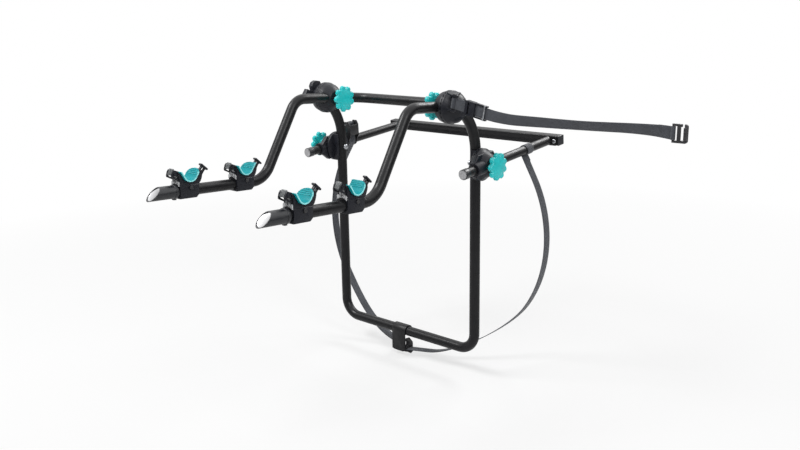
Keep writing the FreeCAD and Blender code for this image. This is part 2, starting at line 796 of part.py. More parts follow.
def cradle_body(centre):
    """Sleeve round the arm with a saddle, two cheeks for the strap's pin in front and a hook for the strap behind."""
    half = cradle_width / 2
    sleeve_outline = [(-sleeve_rear, sleeve_half - 1), (-sleeve_rear, sleeve_chamfer - sleeve_half),
                      (sleeve_chamfer - sleeve_rear, -sleeve_half), (sleeve_front, -sleeve_half), (sleeve_front, sleeve_half - 1)]
    sleeve = cradle_prism(centre, sleeve_outline, arm_x - sleeve_half, arm_x + sleeve_half)
    long_edges = [e for e in sleeve.Edges if e.Length > 40 and abs(e.CenterOfMass.x - arm_x) > 1]
    sleeve = sleeve.makeFillet(2.0, long_edges)
    shell = liner_thickness + fit
    front_top = trough_forward + trough_wall(shell, trough_front_height)
    saddle_outline = [
        (sleeve_front, 4), (sleeve_front, 30), (front_top + 3.4, trough_front_height - 1), (front_top + 2.6, trough_front_height),
        (0, trough_front_height), (-20, trough_rear_height), (-28, trough_rear_height), (-31.6, 40), (-32.3, 34), (-30.4, 26),
        (-27.8, 20), (-sleeve_rear, 13), (-sleeve_rear, 4),
    ]
    saddle = cradle_prism(centre, saddle_outline, arm_x - half, arm_x + half)
    room = trough_solid(centre, shell, trough_front_height + 8, trough_rear_height + 8, 20, half + 1)
    saddle = saddle.cut(room).common(tongue_mask(centre, trough_rear_height, liner_width / 2 - 0.5))
    web_outline = [(-24, 44), (-33, 44.5), (-42.5, 38.5), (-41, 34), (-31, 27), (-24, 27)]
    web = cradle_prism(centre, web_outline, arm_x - hook_web_width / 2, arm_x + hook_web_width / 2).cut(room)
    bar, struts = hook_outlines()
    shapes = [sleeve, saddle, web, cradle_prism(centre, bar, arm_x - hook_bar_width / 2, arm_x + hook_bar_width / 2)]
    for strut in struts:
        shapes.append(cradle_prism(centre, strut, arm_x - hook_strut_width / 2, arm_x + hook_strut_width / 2))
    cheek_outline = [(22, 22.4), (sleeve_front, 24.5), (43.9, 32.4), (44.4, 36), (42, 45), (38.6, 49.1), (24, 44)]
    window = [(sleeve_front + 1.6, 28.4), (40.6, 35.2), (sleeve_front + 2.6, 36.4)]
    for sign in sides.values():
        low, high = sorted((arm_x + sign * cheek_inner, arm_x + sign * (cheek_inner + cheek_thickness)))
        cheek = cradle_prism(centre, cheek_outline, low, high).cut(cradle_prism(centre, window, low - 1, high + 1))
        shapes.append(cheek.cut(room))
    bore = Part.makeCylinder(frame_r + fit, sleeve_front + sleeve_rear + 20, cradle_point(centre, sleeve_front + 10, 0), V(0, 1, 0))
    pin_room = Part.makeCylinder(strap_pin_d / 2 + fit, cradle_width, cradle_point(centre, strap_pin_front, strap_pin_height, arm_x - half),
                                 V(1, 0, 0))
    return tilted(joined(shapes).cut(bore).cut(pin_room))


def cradle_liner(centre):
    """Soft lining of the trough, wider than the saddle, with cross ribs on its rear wall."""
    half = liner_width / 2
    front_up = trough_front_height + liner_rise
    rear_up = trough_rear_height + liner_rise
    outer = trough_solid(centre, liner_thickness, front_up, rear_up, 0, half)
    inner = trough_solid(centre, 0, front_up, rear_up, 20, half + 1)
    shell = outer.cut(inner)
    ribs = []
    for i in range(liner_rib_count):
        up = liner_rib_low + liner_rib_pitch * i
        forward = trough_forward - trough_wall(0, up)
        corners = [(forward - 0.8, up - liner_rib_width / 2), (forward + liner_rib_height, up),
                   (forward - 0.8, up + liner_rib_width / 2 + 0.6)]
        ribs.append(cradle_prism(centre, corners, arm_x - half, arm_x + half))
    return tilted(joined([shell] + ribs).common(tongue_mask(centre, rear_up, half)))


def cradle_screw_place(centre):
    return cradle_point(centre, -1, cradle_screw_height, arm_x + frame_r + 0.2)


def cradle_screw_room(centre):
    return Part.makeCylinder(cradle_screw_d / 2 + fit, sleeve_half, cradle_screw_place(centre) - V(3, 0, 0), V(1, 0, 0))


def cradle_screw(centre):
    """Screw with a round head on the right of the sleeve."""
    place = cradle_screw_place(centre)
    head_x = arm_x + sleeve_half + 0.1
    shank = Part.makeCylinder(cradle_screw_d / 2, head_x - place.x + 0.5, place, V(1, 0, 0))
    head = Part.makeCylinder(cradle_screw_head_d / 2, cradle_screw_head, V(head_x, place.y, place.z), V(1, 0, 0))
    head = head.makeFillet(1.2, [e for e in head.Edges if e.CenterOfMass.x > head_x + cradle_screw_head - 0.1])
    return tilted(joined([shank, head]))


def strap_pin(centre):
    length = 2 * (cheek_inner + cheek_thickness) + 1
    base = cradle_point(centre, strap_pin_front, strap_pin_height, arm_x - length / 2)
    shapes = [Part.makeCylinder(strap_pin_d / 2, length, base, V(1, 0, 0))]
    for sign in sides.values():
        x = arm_x + sign * (length / 2 + 0.5) - 0.9
        shapes.append(Part.makeCylinder(strap_pin_d / 2 + 1.5, 1.8, V(x, base.y, base.z), V(1, 0, 0)))
    return tilted(joined(shapes))


def retaining_strap(centre):
    """Rubber strap that hangs from its pin: a neck with an eye, a wide slotted end and a ribbed thumb tab."""
    neck = strap_neck_width / 2
    x0 = arm_x - neck
    x1 = arm_x + neck
    eye = Part.makeCylinder(strap_eye_d / 2, strap_neck_width, cradle_point(centre, strap_pin_front, strap_pin_height, x0), V(1, 0, 0))
    back = strap_hang
    front = strap_hang + strap_thickness
    eye_back = strap_pin_front - strap_eye_d / 2
    neck_outline = [(eye_back + strap_thickness, strap_pin_height), (eye_back, strap_pin_height), (back, 28), (back, 20), (front, 20), (front, 28)]
    shapes = [eye, cradle_prism(centre, neck_outline, x0, x1)]
    edge = strap_width / 2
    end = [(-edge, strap_low_side), (-edge, strap_wide_top - 2), (2 - edge, strap_wide_top), (edge - 2, strap_wide_top),
           (edge, strap_wide_top - 2), (edge, strap_low_side), (0.7 * edge, strap_low_side + 2.6), (0.37 * edge, strap_low_middle - 0.6),
           (0, strap_low_middle), (-0.37 * edge, strap_low_middle - 0.6), (-0.7 * edge, strap_low_side + 2.6)]
    corners = [cradle_point(centre, back, up, arm_x + side) for side, up in end]
    shapes.append(Part.Face(Part.makePolygon(corners + corners[:1])).extrude(V(0, -strap_thickness, 0)))
    angle = math.radians(strap_tab_angle)
    normal = (math.cos(angle), math.sin(angle))
    reach = strap_eye_d / 2 + 0.5

    def at(out, along):
        """A point out from the pin along the tab's normal and up along the tab."""
        return (strap_pin_front + normal[0] * out - normal[1] * along, strap_pin_height + normal[1] * out + normal[0] * along)

    tab = [at(reach - strap_thickness, -strap_tab_down), at(reach, -strap_tab_down), at(reach, strap_tab_up),
           at(reach - strap_thickness, strap_tab_up)]
    shapes.append(cradle_prism(centre, tab, x0, x1))
    pitch = strap_neck_width / strap_tab_ribs
    for i in range(strap_tab_ribs):
        rib_x = x0 + pitch * (i + 0.5)
        rib = [at(reach - 0.3, 1.2 - strap_tab_down), at(reach + 0.7, 1.2 - strap_tab_down), at(reach + 0.7, strap_tab_up - 1.2),
               at(reach - 0.3, strap_tab_up - 1.2)]
        shapes.append(cradle_prism(centre, rib, rib_x - 0.7, rib_x + 0.7))
    body = joined(shapes)
    bore = Part.makeCylinder(strap_pin_d / 2 + pin_clearance, strap_neck_width, cradle_point(centre, strap_pin_front, strap_pin_height, x0),
                             V(1, 0, 0))
    slot_low = strap_low_middle + 2.5
    slot = cradle_prism(centre, [(back - 4, slot_low), (front + 4, slot_low), (front + 4, slot_low + strap_slot_length),
                                 (back - 4, slot_low + strap_slot_length)], arm_x - strap_slot_width / 2, arm_x + strap_slot_width / 2)
    return tilted(body.cut(bore).cut(slot))


# Bottom hook of the tyre strap, a folded plate hung on the hoop's bottom bar


def bottom_hook():
    x0 = hook_x - hook_width / 2
    x1 = hook_x + hook_width / 2
    inner_r = frame_r + seat_gap
    outer_r = inner_r + hook_sheet
    y_front = hoop_y - outer_r
    ring = rod_x(x0, x1, hoop_y, -hoop_drop, outer_r).cut(rod_x(x0, x1, hoop_y, -hoop_drop, inner_r))
    ring = ring.common(box(x0, x1, hoop_y - outer_r, hoop_y + outer_r, -hoop_drop, -hoop_drop + outer_r))
    front = box(x0, x1, y_front, y_front + hook_sheet, -hoop_drop - hook_front_length, -hoop_drop)
    front = front.makeFillet(9, [e for e in front.Edges if abs(e.Length - hook_sheet) < 0.01 and e.CenterOfMass.z < -hoop_drop - 1])
    flange_outline = [
        (y_front, -hoop_drop - 18), (y_front + 20, -hoop_drop - 20), (y_front + hook_flange_depth, -hoop_drop - 36),
        (y_front + hook_flange_depth, -hoop_drop - hook_flange_drop + 4), (y_front + hook_flange_depth - 8, -hoop_drop - hook_flange_drop),
        (y_front + 12, -hoop_drop - hook_flange_drop + 8), (y_front, -hoop_drop - hook_front_length + 2),
    ]
    flanges = [prism_x(flange_outline, x0, x0 + hook_sheet), prism_x(flange_outline, x1 - hook_sheet, x1)]
    body = joined([ring, front] + flanges)
    webbing = box(x0 - 1, x1 + 1, hook_strap_y - webbing_width / 2 - seat_gap, hook_strap_y + webbing_width / 2 + seat_gap,
                  hook_strap_z - webbing_thickness / 2 - seat_gap, hook_strap_z + webbing_thickness / 2 + seat_gap)
    slot = box(x1 - 2 * hook_sheet, x1 + 1, y_front + hook_sheet + 0.5, y_front + hook_sheet + 0.5 + hook_slot_width,
               -hoop_drop - 26 - hook_slot_length, -hoop_drop - 26)
    rivet_hole = rod_x(x0 - 1, x1 + 1, hook_rivet_y, hook_rivet_z, hook_rivet_d / 2 + fit)
    return body.cut(webbing).cut(slot).cut(rivet_hole)


def bottom_hook_rivet():
    """Hollow rivet across the two flanges; the webbing turns under it."""
    x0 = hook_x - hook_width / 2
    x1 = hook_x + hook_width / 2
    rivet = joined([rod_x(x0 - 1, x1 + 1, hook_rivet_y, hook_rivet_z, hook_rivet_d / 2),
                    rod_x(x0 - 2, x0 - 0.1, hook_rivet_y, hook_rivet_z, hook_rivet_d / 2 + 1.5),
                    rod_x(x1 + 0.1, x1 + 2, hook_rivet_y, hook_rivet_z, hook_rivet_d / 2 + 1.5)])
    return rivet.cut(rod_x(x0 - 3, x1 + 3, hook_rivet_y, hook_rivet_z, hook_rivet_d / 2 - 1))


hook_strap_y = hoop_y - frame_r - seat_gap + webbing_width / 2 + 1.5
hook_strap_z = -hoop_drop - strap_hook_drop
hook_rivet_y = hoop_y - frame_r - seat_gap + 6.0
hook_rivet_z = hook_strap_z + webbing_thickness / 2 + hook_rivet_d / 2 + 2.0

# Tyre strap: webbing round the tread, through the bottom hook and up to both side bars
tread_r = wheel_radius + seat_gap + webbing_thickness / 2
bar_angle = math.radians(bar_tilt)
bar_along = V(0, math.cos(bar_angle), math.sin(bar_angle))
bar_up = V(0, -math.sin(bar_angle), math.cos(bar_angle))
flat_across = V(0, webbing_width, 0)


def bar_centre(back):
    """Centre of the right side bar at a distance behind the clamp bolt."""
    return V(bar_x, clamp_y, clamp_height) + bar_along * back


def smooth(t):
    t = min(1.0, max(0.0, t))
    return t * t * (3 - 2 * t)


def tread_side(back, settle):
    """Stations on one half of the tread, drawn on the right, from the bottom up to the side bar."""
    centre = bar_centre(back)
    gap = bar_r + seat_gap + webbing_thickness / 2
    distance = math.hypot(centre.x, centre.z)
    lift = math.acos((tread_r + gap) / distance)
    top = math.atan2(centre.z, centre.x) - lift
    bottom = math.radians(-80)
    count = 20
    stations = []
    for i in range(count + 1):
        angle = bottom + (top - bottom) * i / count
        y = strap_tread_front + (centre.y - strap_tread_front) * smooth(i / (count * settle))
        outward = V(math.cos(angle), 0, math.sin(angle))
        stations.append((V(tread_r * outward.x, y, tread_r * outward.z), flat_across, outward))
    outward = stations[-1][2]
    tangent = V(-outward.z, 0, outward.x)
    foot = stations[-1][0]
    run = distance * math.sin(lift)
    stations.append((foot + tangent * (run * 0.5), flat_across, outward))
    return stations, foot + tangent * run, outward, centre


def to_left(stations):
    return [(V(-c.x, c.y, c.z), across, V(-o.x, o.y, o.z)) for c, across, o in stations]


def strap_loop(back):
    """Sewn loop of the strap round a side bar."""
    inner = bar_r + seat_gap - 0.1
    hem = webbing_width + 0.4
    base = bar_centre(back - hem / 2)
    outer = Part.makeCylinder(inner + webbing_thickness + 0.25, hem, base, bar_along)
    return outer.cut(Part.makeCylinder(inner, hem, base, bar_along))


def tyre_strap():
    right, right_end, right_out, _ = tread_side(strap_bar_right, 0.42)
    right.append((right_end, bar_along * webbing_width, right_out))
    lead = (right_end - right[-2][0]).normalize() * 2.5
    right.append((right_end + lead, bar_along * webbing_width, right_out))
    left, left_end, left_out, centre = tread_side(strap_bar_left, 0.42)
    across = bar_along * webbing_width
    gap = bar_r + seat_gap + webbing_thickness / 2
    start = math.atan2(-left_out.z, -left_out.x) % (2 * math.pi)
    for i in range(6):
        angle = start + (math.pi - start) * i / 5
        normal = V(math.cos(angle), 0, 0) + bar_up * math.sin(angle)
        left.append((centre + normal * gap, across, normal * -1))
    drum = centre + V(drum_side, 0, 0) + bar_up * buckle_drum_up
    wrap = buckle_drum_d / 2 + seat_gap + webbing_thickness / 2
    for i in range(9):
        angle = math.pi * (1 - i / 8)
        normal = V(math.cos(angle), 0, 0) + bar_up * math.sin(angle)
        left.append((drum + normal * wrap, across, normal))
    left.append((drum + V(wrap, 0, 0) - bar_up * 22, across, V(1, 0, 0)))
    hook_left = V(hook_x - hook_width / 2 - 2, hook_strap_y, hook_strap_z)
    hook_right = V(hook_x + hook_width / 2 + 2, hook_strap_y, hook_strap_z)
    down = V(0, 0, -1)
    middle = [(hook_left, flat_across, down), (hook_right, flat_across, down)]
    stations = list(reversed(to_left(left))) + middle + right
    return joined([band(stations, webbing_thickness), strap_loop(strap_bar_right)])


drum_side = -(bar_r + seat_gap + webbing_thickness / 2) + buckle_drum_d / 2 + seat_gap + webbing_thickness / 2


# Cam buckle, drawn level on the right side bar
def buckle_point(side, up, along=0.0):
    return V(bar_x + side, clamp_y + strap_bar_left + along, clamp_height + up)


def prism_y(outline, y0, y1):
    """A closed outline of (x, z) points drawn out from y0 to y1."""
    points = [V(x, y0, z) for x, z in outline]
    face = Part.Face(Part.makePolygon(points + points[:1]))
    return face.extrude(V(0, y1 - y0, 0))


def buckle_prism(outline, along0, along1):
    centre = buckle_point(0, 0)
    return prism_y([(centre.x + a, centre.z + b) for a, b in outline], centre.y + along0, centre.y + along1)


def buckle_rod(side, up, along0, along1, radius):
    return Part.makeCylinder(radius, along1 - along0, buckle_point(side, up, along0), V(0, 1, 0))


def tyre_buckle():
    """Bracket on the left side bar: two cheeks with a collar, joined by a cross plate."""
    half = buckle_inner_width / 2
    top = buckle_height
    outline = [(-15, 0), (-24, 14), (-25, top - 10), (-20, top), (-6, top), (2, top - 12), (8, 26), (15, 0)]
    cheeks = []
    for sign in sides.values():
        low, high = sorted((sign * half, sign * (half + buckle_cheek)))
        cheek = buckle_prism(outline, low, high).fuse(buckle_rod(0, 0, low, high, buckle_collar_d / 2))
        cheeks.append(cheek)
    back = buckle_prism([(-25, 20), (-22, 20), (-22, top - 10), (-25, top - 10)], -half - 1, half + 1)
    foot = buckle_prism([(-25, 17), (-19, 17), (-19, 20), (-25, 20)], -half - 1, half + 1)
    body = joined(cheeks + [back, foot])
    room = buckle_rod(0, 0, -half - 10, half + 10, bar_r + fit)
    pin = buckle_rod(drum_side, buckle_drum_up, -half - 10, half + 10, buckle_pin_d / 2 + fit)
    return bar_tilted(body.cut(room).cut(pin))


def tyre_buckle_drum():
    """Drum that the webbing turns over, with its pin."""
    half = buckle_inner_width / 2
    drum = buckle_rod(drum_side, buckle_drum_up, -webbing_width / 2, webbing_width / 2, buckle_drum_d / 2)
    pin = buckle_rod(drum_side, buckle_drum_up, -half - buckle_cheek - 1, half + buckle_cheek + 1, buckle_pin_d / 2)
    return bar_tilted(joined([drum, pin]))


def buckle_lever():
    """Lever outside the hanging end of the webbing, hinged on the drum's pin."""
    inner = buckle_drum_d / 2 + 2 * seat_gap + webbing_thickness + 0.6
    low = buckle_drum_up - lever_length + 5
    plate = buckle_prism([(drum_side + inner, low), (drum_side + inner + lever_thickness, low - 2),
                          (drum_side + inner + lever_thickness, buckle_drum_up + 5), (drum_side + inner, buckle_drum_up + 5)],
                         -lever_width / 2 - 2, lever_width / 2 + 2)
    cheeks = []
    for sign in sides.values():
        y0, y1 = sorted((sign * (webbing_width / 2 + 0.4), sign * (webbing_width / 2 + 0.4 + lever_cheek)))
        ring = buckle_rod(drum_side, buckle_drum_up, y0, y1, buckle_pin_d / 2 + 2.5)
        arm = buckle_prism([(drum_side, buckle_drum_up - 5), (drum_side + inner + 0.5, buckle_drum_up - 8),
                            (drum_side + inner + 0.5, buckle_drum_up + 5), (drum_side, buckle_drum_up + 5)], y0, y1)
        cheeks.append(ring.fuse(arm))
    room = buckle_rod(drum_side, buckle_drum_up, -lever_width, lever_width, buckle_pin_d / 2 + pin_clearance)
    return bar_tilted(joined([plate] + cheeks).cut(room))


# Security strap and its fittings
def strap_y(x):
    return anchor_y + (strap_run_y - anchor_y) * max(0.0, x - security_rail_end) / (security_end_x - security_rail_end)


def strap_at(x, z, lean=0.0):
    """Station of the security strap; lean is how far its upper edge tips forward, in degrees."""
    angle = math.radians(lean)
    across = V(0, -math.sin(angle), math.cos(angle)) * webbing_width
    outward = V(0, -math.cos(angle), -math.sin(angle))
    return V(x, strap_y(x), z), across, outward


def route_at(share, drop, lean=0.0):
    """Station at a share of the strap's run, by its drop below the anchor."""
    return strap_at(anchor_x + security_end_run * share, anchor_z - drop, lean)


def slope_z(x):
    return anchor_z - (x - anchor_x) * math.tan(math.radians(anchor_slope))


def sloped_station(x):
    slope = math.radians(anchor_slope)
    return V(x, anchor_y, slope_z(x)), V(math.sin(slope), 0, math.cos(slope)) * webbing_width, V(0, -1, 0)


def security_strap():
    loop_r = anchor_pin_d / 2 + seat_gap
    half = webbing_width / 2
    base = V(anchor_x, anchor_y, anchor_z - half)
    loop = Part.makeCylinder(loop_r + webbing_thickness, webbing_width, base)
    loop = sloped(loop.cut(Part.makeCylinder(loop_r, webbing_width, base)))
    start = anchor_x + loop_r + 0.6
    double = band([sloped_station(start), sloped_station(security_double_end)], 2 * webbing_thickness)
    run = [
        sloped_station(security_double_end - 1), sloped_station(security_bar_x - 3), strap_at(security_bar_x + 12, anchor_z - 19.8),
        route_at(0.2319, 23.2, 7), route_at(0.2762, 25.6, 13), route_at(0.3206, 27.0, 19), route_at(0.4395, 26.8, 26),
        route_at(0.5323, 26.9, 32), route_at(0.6210, 26.7, 36), route_at(0.7077, 25.9, 36), route_at(0.8165, 24.2, 34),
        route_at(0.9173, 24.2, 24), route_at(0.9698, 25.6, 8), strap_at(security_end_x - end_bar_d / 2 - seat_gap - 0.4, security_end_z),
    ]
    long_run = band(run, webbing_thickness)
    hem = band([route_at(0.9456, 24.9, 16), route_at(0.9698, 25.6, 8), strap_at(security_end_x - end_bar_d / 2 - seat_gap - 0.5, security_end_z)],
               1.6 * webbing_thickness)
    end_base = V(security_end_x, strap_run_y, security_end_z - half)
    end_r = end_bar_d / 2 + seat_gap
    end_loop = Part.makeCylinder(end_r + webbing_thickness, webbing_width, end_base)
    end_loop = end_loop.cut(Part.makeCylinder(end_r, webbing_width, end_base))
    return joined([loop, double, long_run, hem, end_loop])


def security_buckle():
    """Ladder buckle: a slotted block and two rails that carry the steel bar."""
    half = security_buckle_width / 2
    depth = security_buckle_depth / 2
    x0 = security_buckle_start
    x1 = x0 + security_buckle_length

    def level(x):
        """Distance along the strap, measured from the anchor."""
        return anchor_x + (x - anchor_x) / math.cos(math.radians(anchor_slope))

    block = box(level(x0), level(x1), anchor_y - depth, anchor_y + depth, anchor_z - half, anchor_z + half)
    block = block.makeFillet(2.5, [e for e in block.Edges if abs(e.Length - security_buckle_width) < 0.01 or abs(e.Length - security_buckle_depth) < 0.01])
    rails = []
    for sign in sides.values():
        z0, z1 = sorted((anchor_z + sign * (webbing_width / 2 + 0.6), anchor_z + sign * half))
        rail = box(level(x1) - 3, level(security_rail_end), anchor_y - 3.5, anchor_y + 3.5, z0, z1)
        rails.append(rail)
    body = joined([block] + rails)
    slot = box(level(x0) - 1, level(x1) + 1, anchor_y - webbing_thickness / 2 - seat_gap, anchor_y + webbing_thickness / 2 + seat_gap,
               anchor_z - webbing_width / 2 - 0.3, anchor_z + webbing_width / 2 + 0.3)
    window = box(level(x0) + 8, level(x0) + 12.5, anchor_y - depth - 1, anchor_y - webbing_thickness / 2,
                 anchor_z - webbing_width / 2, anchor_z + webbing_width / 2)
    bar_room = Part.makeCylinder(security_bar_d / 2 + fit, 2 * half + 2, V(level(security_bar_x), security_bar_y, anchor_z - half - 1))
    return sloped(body.cut(slot).cut(window).cut(bar_room))


security_bar_y = anchor_y - webbing_thickness / 2 - seat_gap - security_bar_d / 2 + 0.2


def security_bar():
    half = security_buckle_width / 2
    along = anchor_x + (security_bar_x - anchor_x) / math.cos(math.radians(anchor_slope))
    bar = Part.makeCylinder(security_bar_d / 2, 2 * half + 1, V(along, security_bar_y, anchor_z - half - 0.5))
    return sloped(bar)


def security_hook_plate():
    """Steel end loop with a second opening and a hooked outer edge."""
    x = security_end_x
    z = security_end_z
    half = end_plate_height / 2
    t = end_plate_thickness / 2
    plate = box(x, x + end_plate_reach, strap_run_y - t, strap_run_y + t, z - half, z + half)
    plate = plate.makeFillet(5, [e for e in plate.Edges if abs(e.Length - end_plate_thickness) < 0.01 and e.CenterOfMass.x > x + 1])
    eye = box(x - 1, x + 8, strap_run_y - t - 1, strap_run_y + t + 1, z - webbing_width / 2 - 0.8, z + webbing_width / 2 + 0.8)
    window = box(x + 14, x + 22, strap_run_y - t - 1, strap_run_y + t + 1, z - half + 5, z + half - 5)
    mouth = box(x + 17, x + 22, strap_run_y - t - 1, strap_run_y + t + 1, z + half - 6, z + half + 1)
    bar = Part.makeCylinder(end_bar_d / 2, end_plate_height, V(x, strap_run_y, z - half))
    lip = box(x + end_plate_reach - 6, x + end_plate_reach, strap_run_y - t - 4, strap_run_y - t + 1, z - half + 6, z + half - 6)
    return joined([plate.cut(eye).cut(window).cut(mouth), bar, lip])


os.makedirs("parts", exist_ok=True)

upper_bolts = []
lower_bolts = []
bar_caps = []
end_caps = []
tabs = []
tab_bolts = []
screws = []
pins = []
slacks = {"right": (0.0, 0.0), "left": (upper_left_slack, lower_left_slack)}
saddle = hub_saddle()
cap = arm_cap()
upright = lower_saddle()
housing = clamp_housing()
bar = side_bar()

save(wheel_hoop(), "wheel_hoop")
save(hub_socket(anchor_ears()), "hub_socket_right")
save(mirrored(hub_socket(catch_lugs())), "hub_socket_left")
save(arm_frame(), "arm_frame")
for side, sign in sides.items():
    upper_slack, lower_slack = slacks[side]
    save(on_side(cap, sign), f"arm_cap_{side}")
    save(on_side(saddle, sign), f"hub_saddle_{side}")
    save(on_side(upright, sign), f"upright_saddle_{side}")
    save(on_side(housing, sign), f"bar_housing_{side}")
    save(on_side(bar, sign), f"side_bar_{side}")
    save(on_side(knob(upper_knob_seat, -1, upper_slack, hub_y, hub_height), sign), f"upper_knob_{side}")
    save(on_side(knob_nut(upper_knob_seat, -1, upper_slack, hub_y, hub_height), sign), f"upper_knob_nut_{side}")
    save(on_side(knob(lower_knob_seat, 1, lower_slack, clamp_y, clamp_height), sign), f"lower_knob_{side}")
    save(on_side(knob_nut(lower_knob_seat, 1, lower_slack, clamp_y, clamp_height), sign), f"lower_knob_nut_{side}")
    for place, centre in zip(("front", "rear"), cradle_centres[side]):
        screw_room = tilted(cradle_screw_room(centre))
        screw_room.translate(V((sign - 1) * arm_x, 0, 0))
        save(on_side(cradle_body(centre), sign).cut(screw_room), f"cradle_{side}_{place}")
        save(on_side(cradle_liner(centre), sign), f"cradle_liner_{side}_{place}")
        save(on_side(retaining_strap(centre), sign), f"retaining_strap_{side}_{place}")
        screw = cradle_screw(centre)
        screw.translate(V((sign - 1) * arm_x, 0, 0))
        screws.append(screw)
        pins.append(on_side(strap_pin(centre), sign))
    upper_bolts.append(on_side(upper_bolt(upper_slack), sign))
    lower_bolts.append(on_side(lower_bolt(lower_slack), sign))
    bar_caps.append(on_side(side_bar_cap(), sign))
    end_caps.append(on_side(crossbar_cap(), sign))
    tabs.append(on_side(bar_tab(), sign))
    tab_bolts.append(on_side(tab_bolt(), sign))
save(Part.makeCompound(upper_bolts), "upper_bolts")
save(Part.makeCompound(lower_bolts), "lower_bolts")
save(Part.makeCompound(bar_caps), "side_bar_caps")
save(Part.makeCompound(end_caps), "crossbar_caps")
save(Part.makeCompound(tabs), "bar_tabs")
save(Part.makeCompound(tab_bolts), "tab_bolts")
save(Part.makeCompound(screws), "cradle_screws")
save(Part.makeCompound(pins), "strap_pins")
save(rear_crossbar(), "rear_crossbar")
save(bottom_hook(), "bottom_hook")
save(bottom_hook_rivet(), "bottom_hook_rivet")
save(tyre_strap(), "tyre_strap")
save(mirrored(tyre_buckle()), "tyre_buckle")
save(mirrored(tyre_buckle_drum()), "tyre_buckle_drum")
save(mirrored(buckle_lever()), "tyre_buckle_lever")
save(anchor_pin(), "strap_anchor_pin")
save(security_strap(), "security_strap")
save(security_buckle(), "security_buckle")
save(security_bar(), "security_bar")
save(security_hook_plate(), "security_hook_plate")
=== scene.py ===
import json
import math

import bmesh
import bpy
from mathutils import Matrix, Vector

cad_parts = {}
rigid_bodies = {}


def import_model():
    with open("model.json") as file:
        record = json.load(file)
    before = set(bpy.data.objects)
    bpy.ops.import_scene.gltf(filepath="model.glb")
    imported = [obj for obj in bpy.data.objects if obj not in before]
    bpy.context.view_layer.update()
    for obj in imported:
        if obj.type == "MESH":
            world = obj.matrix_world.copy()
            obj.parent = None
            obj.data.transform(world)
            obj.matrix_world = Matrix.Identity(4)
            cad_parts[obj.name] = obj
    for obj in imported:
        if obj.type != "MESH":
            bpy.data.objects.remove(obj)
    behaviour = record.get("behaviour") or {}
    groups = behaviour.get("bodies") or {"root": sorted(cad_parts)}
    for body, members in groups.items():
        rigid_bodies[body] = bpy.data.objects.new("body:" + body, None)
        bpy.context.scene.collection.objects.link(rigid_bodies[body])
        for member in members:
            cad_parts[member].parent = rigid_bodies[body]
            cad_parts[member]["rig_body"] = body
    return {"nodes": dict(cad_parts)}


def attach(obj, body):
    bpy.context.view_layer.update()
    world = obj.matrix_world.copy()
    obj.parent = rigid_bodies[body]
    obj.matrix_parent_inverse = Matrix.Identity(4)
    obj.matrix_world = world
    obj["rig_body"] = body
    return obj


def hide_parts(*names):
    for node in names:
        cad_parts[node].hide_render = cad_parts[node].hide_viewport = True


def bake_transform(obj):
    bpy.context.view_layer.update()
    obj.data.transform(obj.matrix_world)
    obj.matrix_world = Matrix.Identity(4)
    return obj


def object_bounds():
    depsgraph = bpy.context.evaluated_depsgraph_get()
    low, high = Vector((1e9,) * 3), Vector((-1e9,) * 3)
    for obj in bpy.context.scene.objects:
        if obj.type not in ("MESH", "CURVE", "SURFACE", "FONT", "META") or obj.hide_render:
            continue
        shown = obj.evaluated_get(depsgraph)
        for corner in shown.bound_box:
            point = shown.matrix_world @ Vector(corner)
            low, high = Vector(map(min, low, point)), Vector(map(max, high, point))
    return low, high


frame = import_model()
cad_low, cad_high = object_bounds()

bl_info = {
    "name": "Spare wheel bike rack",
    "version": (1, 0, 0),
    "blender": (4, 5, 0),
    "location": "View3D > Sidebar > Bike rack",
    "description": "Dresses the packed rack with its finishes, webbing, stitching and stage",
    "category": "Object",
}

SIDES = ("right", "left")
PLACES = ("front", "rear")
LEVELS = ("upper", "lower")

# Places taken from the part's source, in metres and radians
CLAMP = Vector((0, -0.0125, 0.208))
BAR_TILT = math.radians(5.4)
BAR_X = 0.254
BAR_RADIUS = 0.011
TREAD_RADIUS = 0.317
SEAT_GAP = 0.0003
BAR_RIGHT_BACK = 0.163
BAR_LEFT_BACK = 0.062
TREAD_FRONT = 0.020
HOOK_X = -0.016
HOOK_HALF = 0.024
HOOK_STRAP = (-0.0113, -0.309)
DRUM_UP = 0.045
DRUM_RADIUS = 0.004

# Route of the security strap and how far its upper edge tips forward, in metres and degrees
SECURITY_ROUTE = (
    (0.2389, -0.1140, 0.35801, 0), (0.262, -0.1140, 0.35331, 0), (0.315, -0.1140, 0.34252, 0),
    (0.330, -0.1138, 0.3390, 0), (0.350, -0.1131, 0.3356, 7), (0.372, -0.1123, 0.3332, 13),
    (0.394, -0.1116, 0.3318, 19), (0.453, -0.1096, 0.3320, 26), (0.499, -0.1080, 0.3319, 32),
    (0.543, -0.1065, 0.3321, 36), (0.586, -0.1050, 0.3329, 36), (0.640, -0.1031, 0.3346, 34),
    (0.690, -0.1014, 0.3346, 24), (0.716, -0.1005, 0.3332, 8), (0.7281, -0.1001, 0.3320, 0),
)
ANCHOR = Vector((0.235, -0.114, 0.3588))
ANCHOR_SLOPE = math.radians(11.5)
ANCHOR_PIN_RADIUS = 0.003
END_BAR = Vector((0.731, -0.100, 0.332))
END_BAR_RADIUS = 0.0022

# Hems and seams of the security strap, as X places in metres
ANCHOR_HEM = (0.2415, 0.264)
END_HEM = (0.702, 0.7275)
ANCHOR_SEAMS = (0.246, 0.2495)
END_SEAMS = (0.706, 0.710, 0.7205)

